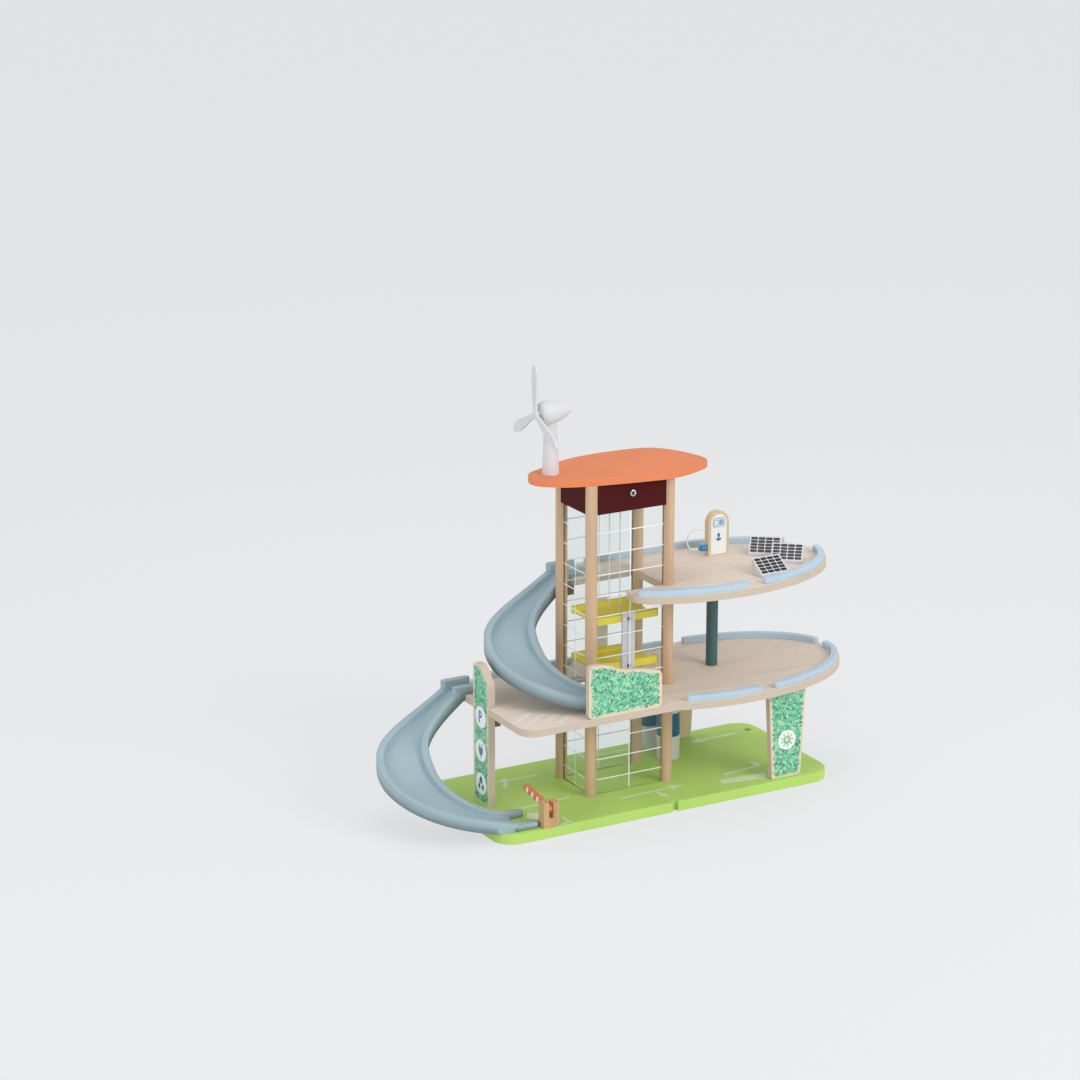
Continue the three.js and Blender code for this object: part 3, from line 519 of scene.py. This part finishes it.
yellow_paint = painted_wood("yellow_paint", YELLOW)
white_paint = painted_wood("white_paint", WHITE, axis=Z, wear=0.2)
blue_paint = painted_wood("blue_paint", BLUE, wear=0.1)
ramp_plastic = moulded_plastic("ramp_plastic", RAMP)
acrylic = clear_sheet("acrylic")
bright_steel = metal("bright_steel", "c9ccd0")
dark_steel = metal("dark_steel", "6c6c70", rough=0.35)
line_ink = printed_ink("line_ink", "f2f4f4")
road_ink = printed_ink("road_ink", "e0ebd2", under=GREEN, cover=0.92)
faint_ink = printed_ink("faint_ink", "eeebec", under=PLY, cover=0.6)
bay_ink = printed_ink("bay_ink", "9fc4d8", under=PLY, cover=0.8)
white_ink = printed_ink("white_ink", "f0f1f0")
blue_ink = printed_ink("blue_ink", "3f7fae")
charger_ink = printed_ink("charger_ink", "3a9ac4")
black_ink = printed_ink("black_ink", "1e1e22", rough=0.3)
foliage_ink = leaf_ink("foliage_ink", LEAVES)
cotton = twisted_cord("cotton", "e6e4de")
lead_cover = twisted_cord("lead_cover", "e9e9e6", pitch=0.004)
roller_paint = banded_paint("roller_paint", WHITE, ROLLER_BLUE, *ROLLER_BAND)

dress("base_left base_right", green_paint, 1.2)
dress("deck_middle deck_upper", ply_flat, 0.9)
dress("post_front_left post_front_right post_back_left post_back_right", dowel_wood, 0.25)
dress("winch_shaft winch_knob", shaft_wood, 0.3)
dress("barrier_post", block_wood, 0.6)
dress("charger_body", charger_wood, 0.8)
dress("cleat_middle cleat_upper", cleat_wood_painted_shade, 0.5)
dress("sign_front wash_leg_front wash_leg_back", ply_front, 0.8)
dress("sign_parking", ply_side, 0.8)
dress("beam_front beam_back beam_left beam_right", maroon_paint, 0.4)
dress("roof", orange_paint, 1.2)
dress("deck_prop", prop_paint, 0.3)
dress("guard_upper_front guard_upper_tip guard_upper_right guard_upper_back", guard_paint, 1.0)
dress("guard_middle_front guard_middle_tip guard_middle_right", guard_paint, 1.0)
dress("guard_middle_back guard_middle_left", guard_paint, 1.0)
dress("ramp_upper ramp_lower", ramp_plastic, 0, 50)
dress("lift_tray_lower lift_tray_upper", yellow_paint, 0.7)
dress("lift_side_front lift_side_back", white_paint, 0.3)
dress("turbine_mast turbine_nacelle turbine_rotor", white_paint, 0.5)
dress("solar_panel_back solar_panel_mid solar_panel_front", white_paint, 0.5)
dress("charger_plug", blue_paint, 0.4)
dress("winch_pivot", bright_steel, 0.3)
dress("pane_front pane_back pane_left", acrylic, 0)
dress("barrier_arm", orange_paint, 0.9)
dress("wash_roller_front wash_roller_back", roller_paint, 0.6)

# Barrier arm at rest: its pivot, rise and thickness, and the white bars' places along it.
ARM_PIVOT = Vector((-185, -105.5, 39)) * MM
ARM_RISE = math.radians(7.92)
ARM_THICK = 5.4
ARM_BARS = (27, 41, 55)

# Heights of the lift's screws, and profiles as radius and height, from the edge inward.
SCREW_HEIGHTS = (188, 254)
SCREW_HEAD = [(2.75, 0), (2.75, 0.25), (2.3, 0.55), (1.5, 0.62), (1.3, 0.2), (0.6, 0.1)]
PIVOT_RIM = [(4.5, 0), (4.5, 0.5), (4.0, 0.95), (3.0, 1.0), (2.6, 0.5), (2.3, 0.1)]
# The pivot's socket: a thin black disc in the dish that stands for the shade in its hole, painted
# shade.
PIVOT_SOCKET_SHADE = [(2.3, 0.02), (2.2, 0.12)]

# Charger's lead, from the charger's side down to its plug.
CHARGER_LEAD = [
    (149.2, 50, 331), (144, 50, 331.2), (129, 50, 333), (120, 50, 326),
    (119, 50, 314), (124, 50, 306.5), (132, 50, 305), (136.2, 50, 305),
]


def print_arm():
    """Three slanting white bars on each side of the barrier arm."""
    along = Vector((0, math.cos(ARM_RISE), math.sin(ARM_RISE)))
    upright = Vector((1, 0, 0)).cross(along)
    wide, slant, high = 2.7, 0.7, 4
    for name, facing in (("arm_bars_left", -1), ("arm_bars_right", 1)):
        origin = ARM_PIVOT + Vector((facing * ARM_THICK / 2, 0, 0)) * MM
        side = Flat(origin, along * facing, upright)
        for middle in ARM_BARS:
            foot, head = middle * facing - slant, middle * facing + slant
            side.poly([(foot - wide, -high), (foot + wide, -high),
                       (head + wide, high), (head - wide, high)])
        side.build(name, white_ink, "barrier")


def print_panes():
    """White grid printed on the outer face of each clear pane."""
    width, pitch, first = 1.4, 28.7, 26.978
    # Direction to the right, the axis along it, the axis across the pane and its outer side.
    views = (
        ("pane_front", (1, 0, 0), X, Y, 0),
        ("pane_back", (-1, 0, 0), X, Y, 1),
        ("pane_left", (0, -1, 0), Y, X, 0),
    )
    for name, across, run, depth, outer in views:
        box = box_mm(name)
        low, high = box
        origin = [0, 0, 0]
        origin[depth] = box[outer][depth] * MM
        sheet = Flat(origin, across, (0, 0, 1))
        left, right = sorted((across[run] * low[run], across[run] * high[run]))
        height = high[2] - first
        while height > low[2] + width:
            sheet.rect(left, height - width / 2, right, height + width / 2)
            height -= pitch
        middle = (left + right) / 2
        sheet.rect(middle - width / 2, low[2] + 2, middle + width / 2, high[2] - 1, SECOND)
        sheet.build(f"{name}_grid", line_ink)


def print_roads():
    """Arrows, bays and lane lines on the base."""
    wide, head = 4.8, 22
    floor = top_of("base_left")
    # Front lane, with an arrow that turns off it.
    floor.arrow((-52, -66), (47.5, -63), wide, head)
    floor.arrow((2, -68), (7, -94), wide, head * 0.75, SECOND)
    # Back right arrow, front right arrow with a slanting head, and the block before it.
    floor.arrow((218, 74.5), (140, 73), wide, head)
    floor.line((117, -57), (178, -51), wide)
    floor.poly([(170, -50), (186, -46), (173, -31)], SECOND)
    floor.poly([(95, -88), (160.5, -95.5), (168, -77.5), (98.5, -71.5)])
    # Back left lane, with an arrow that turns off it.
    floor.arrow((-110, 66), (-171, 70), wide, head * 0.8)
    floor.arrow((-158, 66), (-170, 42), wide, head * 0.6, SECOND)
    # Lines and a block beside the barrier.
    floor.line((-110, -28), (-198, -33), wide)
    floor.poly([(-188, -80), (-173, -60), (-187, -50), (-198, -69)])
    floor.line((-202, -84), (-191, -92), wide)
    floor.line((-153, -84), (-156, -109), wide)
    floor.line((-150, -105), (-170, -109), wide, SECOND)
    floor.build("road_marks", road_ink)


def print_decks():
    """A pale crossing on the middle deck, and faint lane marks and bays on the upper one."""
    middle = top_of("deck_middle")
    start, step = Vector((-218, -72)), Vector((15, -10))
    wide, run = Vector((7, -5)), Vector((30, 22))
    for i in range(4):
        corner = start + step * i
        middle.poly([corner, corner + wide, corner + wide + run, corner + run])
    middle.build("middle_deck_marks", faint_ink)
    upper = top_of("deck_upper")
    for from_angle, to_angle in ((-120, -65), (5, 55)):
        upper.ring(120, -12, 40, 43, from_angle, to_angle)
    for tail, tip in (((66, 74), (8, 74)), ((30, -62), (92, -72))):
        upper.arrow(tail, tip, 3, 15)
    upper.build("upper_deck_marks", faint_ink)
    bays = upper.blank()
    for x0, y0, x1, y1 in ((252, -8, 286, 26), (196, -92, 232, -62)):
        bays.frame(x0, y0, x1, y1, 4, 1.6)
    bays.build("upper_deck_bays", bay_ink)


def board_tree(name):
    """A node's faces, to send rays at."""
    mesh = nodes[name].data
    return BVHTree.FromPolygons([v.co for v in mesh.vertices], [p.vertices for p in mesh.polygons])


def leaf(x, y, length, wide, turn):
    """Outline of one leaf about its middle, with two pointed ends and widest nearer its base."""
    steps = 6
    shares = [(1, k / steps) for k in range(steps)] + [(-1, 1 - k / steps) for k in range(steps)]
    c, s = math.cos(turn), math.sin(turn)
    outline = []
    for side, share in shares:
        along = length * (share - 0.5)
        out = side * wide / 2 * math.sin(math.pi * share ** 0.8)
        outline.append((x + along * c - out * s, y + along * s + out * c))
    return outline


def leafy_print(name, node, sheet, span, leaves, inset, seed):
    """Overlapping leaves in several greens, scattered where the board's face is wide enough."""
    draw = random.Random(seed)
    tree = board_tree(node)
    x0, x1, y0, y1 = span
    probe = 2 * MM

    def on_board(x, y, reach):
        for t in turns(8):
            start = sheet.place(*polar(x, y, reach, t)) + sheet.normal * probe
            if tree.ray_cast(start, -sheet.normal, 2 * probe)[0] is None:
                return False
        return True

    # Small squares of one green lie under the leaves, so that no board shows between them.
    cell, cell_inset, cell_tint = 2.2, inset + 1.6, 0.42
    y = y0
    while y < y1:
        x = x0
        while x < x1:
            if on_board(x + cell / 2, y + cell / 2, cell_inset):
                sheet.rect(x, y, x + cell, y + cell, BACKING, cell_tint)
            x += cell
        y += cell
    placed = 0
    while placed < leaves:
        x, y = draw.uniform(x0, x1), draw.uniform(y0, y1)
        length, turn, tint = draw.uniform(4.2, 7.6), draw.uniform(0, 2 * math.pi), draw.random()
        if not on_board(x, y, inset):
            continue
        wide = length * draw.uniform(0.32, 0.46)
        layer = FIRST + (LEAVES_TOP - FIRST) * placed / leaves
        sheet.poly(leaf(x, y, length, wide, turn), layer, tint)
        placed += 1
    sheet.build(name, foliage_ink)


def mark_letter(marks, x, z):
    """A plain P."""
    marks.rect(x - 5.2, z - 8.5, x - 2.2, z + 8.5, BADGE_MARK)
    marks.ring(x - 1.2, z + 3.6, 2.2, 5, -90, 90, BADGE_MARK)
    marks.rect(x - 2.4, z + 5.8, x - 1.1, z + 8.6, BADGE_MARK)
    marks.rect(x - 2.4, z - 1.4, x - 1.1, z + 1.4, BADGE_MARK)


def mark_plug(marks, x, z):
    """A plug with two pins and its lead."""
    for pin in (x - 3, x + 3):
        marks.rounded(pin - 1, z + 3, pin + 1, z + 9, 0.9, BADGE_MARK)
    marks.rounded(x - 6, z - 2, x + 6, z + 4, 2, BADGE_MARK)
    marks.ring(x, z - 2, 0.1, 5, 180, 360, BADGE_MARK)
    marks.rect(x - 1, z - 11, x + 1, z - 6, BADGE_MARK)


def mark_drops(marks, x, z):
    """Three drops, the largest above."""
    for dx, dz, size in ((0, 4, 4.2), (-5, -5, 3.2), (5, -5, 3.2)):
        marks.disc(x + dx, z + dz, size, BADGE_MARK, 24)
        left, right = x + dx - size * 0.9, x + dx + size * 0.9
        foot, tip = z + dz + size * 0.4, z + dz + size * 2.1
        marks.poly([(left, foot), (right, foot), (x + dx, tip)], BADGE_MARK)


def print_signs():
    """Leaves on the front sign, and leaves and three round badges on the parking sign."""
    low, high = box_mm("sign_front")
    front = Flat((0, low[1] * MM, 0), (1, 0, 0), (0, 0, 1))
    span = low[0], high[0], low[2], high[2]
    leafy_print("front_sign_leaves", "sign_front", front, span, leaves=1000, inset=4.4, seed=4)

    low, high = box_mm("sign_parking")
    side = Flat((low[0] * MM, 0, 0), (0, -1, 0), (0, 0, 1))
    span = -high[1], -low[1], low[2], high[2]
    leafy_print("parking_sign_leaves", "sign_parking", side, span, leaves=900, inset=3.6, seed=9)
    discs, marks = side.blank(), side.blank()
    middle = -(low[1] + high[1]) / 2
    for height, mark in ((136, mark_letter), (89, mark_plug), (42, mark_drops)):
        discs.disc(middle, height, 15, BADGE)
        mark(marks, middle, height)
    discs.build("parking_sign_discs", white_ink)
    marks.build("parking_sign_marks", blue_ink)


def print_wash_leg(node, facing, seed):
    """Leaves and a pale disc with petals on the outer face of a wash leg."""
    low, high = box_mm(node)
    leg = Flat((0, (low if facing > 0 else high)[1] * MM, 0), (facing, 0, 0), (0, 0, 1))
    x0, x1 = sorted((low[0] * facing, high[0] * facing))
    span = x0, x1, low[2], high[2]
    leafy_print(f"{node}_leaves", node, leg, span, leaves=1000, inset=3.6, seed=seed)
    x, z = (x0 + x1) / 2, 68
    badge, petals = leg.blank(), leg.blank()
    badge.disc(x, z, 14, BADGE)
    badge.build(f"{node}_badge", white_ink)
    count, half_long = 9, 2.4
    for k, turn in enumerate(turns(count)):
        c, s = math.cos(turn), math.sin(turn)
        for distance, half_wide in ((4.5, 2.0), (8.6, 1.6)):
            oval = [(half_long * math.cos(t), half_wide * math.sin(t)) for t in turns(12)]
            petal = [(distance + out, side) for out, side in oval]
            outline = [(x + out * c - side * s, z + out * s + side * c) for out, side in petal]
            petals.poly(outline, BADGE_MARK, 0.7 + 0.03 * k)
    petals.build(f"{node}_petals", foliage_ink)


def print_charger():
    """White face of the charger, with a screen of an outline and bars, and a drop over a hand."""
    low, high = box_mm("charger_body")
    face = Flat((0, low[1] * MM, 0), (1, 0, 0), (0, 0, 1))
    mid, top = (low[0] + high[0]) / 2, high[2]
    half, margin = (high[0] - low[0]) / 2, 4.2
    radius, crown = half - margin, top - half
    arc = [polar(mid, crown, radius, t / 24 * math.pi) for t in range(25)]
    face.poly([(mid - radius, low[2] + 1), (mid + radius, low[2] + 1), *arc])
    face.build("charger_face", white_ink)
    marks = face.blank()
    # Screen, the frame in it and four bars.
    marks.frame(mid - 9.6, top - 22.5, mid + 9.6, top - 9.5, 3, 1.0, SECOND)
    marks.frame(mid - 7.2, top - 20, mid - 0.8, top - 12, 1.6, 0.9, SECOND)
    for i in range(4):
        left = mid + 0.6 + i * 1.75
        marks.rect(left, top - 20, left + 1.3, top - 12, SECOND)
    # Drop, and the hand under it.
    marks.disc(mid, top - 34.5, 2.5, SECOND, 24)
    marks.poly([(mid - 2.2, top - 33.8), (mid + 2.2, top - 33.8), (mid, top - 29.6)], SECOND)
    marks.ring(mid, top - 38.2, 0.1, 4.4, 180, 360, SECOND)
    marks.rect(mid - 1, top - 40, mid + 1, top - 36.5, SECOND)
    marks.build("charger_marks", charger_ink)


def print_solar_cells():
    """Dark cells with cut corners on the slanting face of each solar panel."""
    turned = -37.8
    columns, rows, margin, gap, cut, front_edge = 4, 5, 2.2, 1.0, 0.9, 4
    low, high = box_mm("solar_panel_front")
    wide, deep, back_edge = high[0] - low[0], high[1] - low[1], high[2] - low[2]
    top = box_mm("deck_upper")[1][2]
    slope = Vector((0, deep, back_edge - front_edge))
    w = (wide - 2 * margin - gap * (columns - 1)) / columns
    h = (slope.length - 2 * margin - gap * (rows - 1)) / rows
    panels = (("solar_panel_back", turned), ("solar_panel_mid", turned), ("solar_panel_front", 0))
    for name, turn in panels:
        low, high = box_mm(name)
        middle = Vector(((low[0] + high[0]) / 2, (low[1] + high[1]) / 2, top))
        spin = Matrix.Rotation(math.radians(turn), 3, "Z")
        corner = spin @ Vector((-wide / 2, -deep / 2, front_edge)) + middle
        cells = Flat(corner * MM, spin @ Vector((1, 0, 0)), spin @ slope.normalized())
        for i in range(columns):
            for k in range(rows):
                x, y = margin + i * (w + gap), margin + k * (h + gap)
                cells.poly([(x + cut, y), (x + w - cut, y), (x + w, y + cut), (x + w, y + h - cut),
                            (x + w - cut, y + h), (x + cut, y + h), (x, y + h - cut), (x, y + cut)])
        cells.build(f"{name}_cells", black_ink)


def revolve(name, profile, centre, axis, material, body):
    """A turned piece: radii and places along an axis, in millimetres."""
    sides = 40
    spin = Vector((0, 0, 1)).rotation_difference(Vector(axis)).to_matrix()
    verts, faces = [], []
    for radius, along in profile:
        for t in turns(sides):
            point = spin @ Vector((*polar(0, 0, radius, t), along))
            verts.append(point * MM + Vector(centre) * MM)
    for i in range(len(profile) - 1):
        for k in range(sides):
            n = (k + 1) % sides
            faces.append((i * sides + k, i * sides + n, (i + 1) * sides + n, (i + 1) * sides + k))
    faces.append(list(range(sides))[::-1])
    faces.append([(len(profile) - 1) * sides + k for k in range(sides)])
    mesh = bpy.data.meshes.new(name)
    mesh.from_pydata(verts, [], faces)
    settle(name, mesh, material, body, smooth=True)
    mesh.set_sharp_from_angle(angle=math.radians(40))


def add_screws():
    """Screw heads on the lift's side plates, and the pivot's dished head with a black disc for the
    shade in its socket: painted shade.
    """
    low, high = box_mm("lift_side_front")
    back = box_mm("lift_side_back")[1][1]
    x = (low[0] + high[0]) / 2
    for z in SCREW_HEIGHTS:
        revolve(f"screw_front_{z}", SCREW_HEAD, (x, low[1], z), (0, -1, 0), dark_steel, "lift")
        revolve(f"screw_back_{z}", SCREW_HEAD, (x, back, z), (0, 1, 0), dark_steel, "lift")
    low, high = box_mm("winch_pivot")
    centre = (low[0] + high[0]) / 2, low[1], (low[2] + high[2]) / 2
    revolve("pivot_rim", PIVOT_RIM, centre, (0, -1, 0), bright_steel, "winch")
    # Painted shade: a black disc for the dark of the socket's hole.
    revolve("pivot_socket_shade", PIVOT_SOCKET_SHADE, centre, (0, -1, 0), black_ink, "winch")


def tube(name, points, radius, material, body):
    """A round tube along points, as a mesh."""
    sides = 12
    points = [Vector(p) for p in points]
    verts, faces = [], []
    side = Vector((0, 1, 0))
    for i, point in enumerate(points):
        along = (points[min(i + 1, len(points) - 1)] - points[max(i - 1, 0)]).normalized()
        out = (side - along * side.dot(along)).normalized()
        up = along.cross(out)
        verts += [point + (out * math.cos(t) + up * math.sin(t)) * radius for t in turns(sides)]
    for i in range(len(points) - 1):
        for k in range(sides):
            n = (k + 1) % sides
            faces.append((i * sides + k, (i + 1) * sides + k, (i + 1) * sides + n, i * sides + n))
    faces.append(list(range(sides)))
    faces.append([(len(points) - 1) * sides + k for k in range(sides)][::-1])
    mesh = bpy.data.meshes.new(name)
    mesh.from_pydata(verts, [], faces)
    return settle(name, mesh, material, body, smooth=True)


def add_lift_cords():
    """The two cords that hang the lift, which shorten as it rises."""
    rings = 60
    for name in ("lift_cord_front", "lift_cord_back"):
        low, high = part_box(name)
        x, y = (low[0] + high[0]) / 2, (low[1] + high[1]) / 2
        points = [(x, y, high[2] + (low[2] - high[2]) * i / rings) for i in range(rings + 1)]
        piece = tube(f"{name}_strand", points, 0.8 * MM, cotton, None)
        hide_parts(name)
        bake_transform(piece)


def centripetal(points, each):
    """Smooth curve through points, with knots spaced by the square root of each step."""
    points = [Vector(p) for p in points]
    line = [points[0] * 2 - points[1], *points, points[-1] * 2 - points[-2]]
    out = []
    for p0, p1, p2, p3 in zip(line, line[1:], line[2:], line[3:]):
        d = [max((b - a).length_squared ** 0.25, 1e-6) for a, b in ((p0, p1), (p1, p2), (p2, p3))]
        m1 = ((p1 - p0) / d[0] - (p2 - p0) / (d[0] + d[1]) + (p2 - p1) / d[1]) * d[1]
        m2 = ((p2 - p1) / d[1] - (p3 - p1) / (d[1] + d[2]) + (p3 - p2) / d[2]) * d[1]
        for i in range(each):
            t = i / each
            out.append(
                p1 * (2 * t**3 - 3 * t**2 + 1) + m1 * (t**3 - 2 * t**2 + t)
                + p2 * (3 * t**2 - 2 * t**3) + m2 * (t**3 - t**2)
            )
    out.append(points[-1])
    return out


def add_charger_lead():
    """The charger's lead, from its side in a loop down to the plug."""
    path = centripetal([Vector(p) * MM for p in CHARGER_LEAD], 5)
    lead = tube("charger_lead", path, 1.0 * MM, lead_cover, "garage")
    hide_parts("charger_cord")


def add_camera():
    """The photograph's view."""
    azimuth, elevation = math.radians(CAMERA_AZIMUTH), math.radians(CAMERA_ELEVATION)
    level = math.cos(elevation)
    back = Vector((math.sin(azimuth) * level, -math.cos(azimuth) * level, math.sin(elevation)))
    data = bpy.data.cameras.new("camera")
    data.lens, data.sensor_width, data.clip_end = CAMERA_LENS, CAMERA_SENSOR, CAMERA_REACH
    camera = bpy.data.objects.new("camera", data)
    camera.rotation_mode = "QUATERNION"
    camera.location = CAMERA_TARGET + back * CAMERA_DISTANCE
    roll = Matrix.Rotation(math.radians(CAMERA_ROLL), 4, "Z").to_quaternion()
    camera.rotation_quaternion = (-back).to_track_quat("-Z", "Y") @ roll
    bpy.context.scene.collection.objects.link(camera)
    bpy.context.scene.camera = camera


def add_light(name, place, size, power, colour=(1, 1, 1)):
    """A round lamp that looks at the part's middle."""
    data = bpy.data.lights.new(name, "AREA")
    data.shape, data.size, data.energy, data.color = "DISK", size, power, colour
    lamp = bpy.data.objects.new(name, data)
    lamp.location = place
    lamp.rotation_mode = "QUATERNION"
    lamp.rotation_quaternion = (LAMP_AIM - Vector(place)).to_track_quat("-Z", "Y")
    bpy.context.scene.collection.objects.link(lamp)


def pale_rays(shader, lit, pale):
    """The lit surface, with a share of the pale one for the camera, mirrors and clear sheets."""
    rays = shader.add("ShaderNodeLightPath").outputs
    seen = shader.calc("MAXIMUM", rays["Is Camera Ray"], rays["Is Transmission Ray"])
    seen = shader.calc("MAXIMUM", seen, rays["Is Glossy Ray"])
    share = shader.calc("MULTIPLY", seen, GLOW_SHARE)
    return shader.add("ShaderNodeMixShader", {0: share, 1: lit, 2: pale}).outputs[0]


def add_stage():
    """Pale floor that keeps the part's shadow, the world's light and three lamps."""
    s = Shader("studio_floor")
    s.set(Base_Color=(0.78, 0.79, 0.8, 1), Roughness=0.9, Specular_IOR_Level=0.1)
    glow = s.add("ShaderNodeEmission", {0: FLOOR_GLOW, "Strength": 1.0}).outputs[0]
    s.show(pale_rays(s, s.bsdf.outputs[0], glow))
    mesh = bpy.data.meshes.new("studio_floor")
    r = FLOOR_REACH
    mesh.from_pydata([(-r, -r, 0), (r, -r, 0), (r, r, 0), (-r, r, 0)], [], [(0, 1, 2, 3)])
    mesh.materials.append(s.mat)
    floor = bpy.data.objects.new("studio_floor", mesh)
    floor.location.z = -FLOOR_DROP
    bpy.context.scene.collection.objects.link(floor)
    world = bpy.data.worlds.new("studio")
    bpy.context.scene.world = world
    world.use_nodes = True
    background = world.node_tree.nodes["Background"].inputs
    background[0].default_value = WORLD_COLOUR
    background[1].default_value = WORLD_STRENGTH
    bpy.context.scene.view_settings.view_transform = "Standard"
    add_light("key", (1.3, -2.7, 1.9), size=1.9, power=46, colour=(1.0, 0.985, 0.97))
    add_light("side", (-2.9, -0.9, 1.0), size=1.5, power=18, colour=(0.97, 0.985, 1.0))
    add_light("top", (0.0, 0.1, 2.9), size=1.8, power=10)


add_camera()
add_charger_lead()
add_lift_cords()
print_arm()
print_panes()
print_roads()
print_decks()
print_signs()
print_wash_leg("wash_leg_front", facing=1, seed=21)
print_wash_leg("wash_leg_back", facing=-1, seed=33)
print_charger()
print_solar_cells()
add_screws()
add_stage()
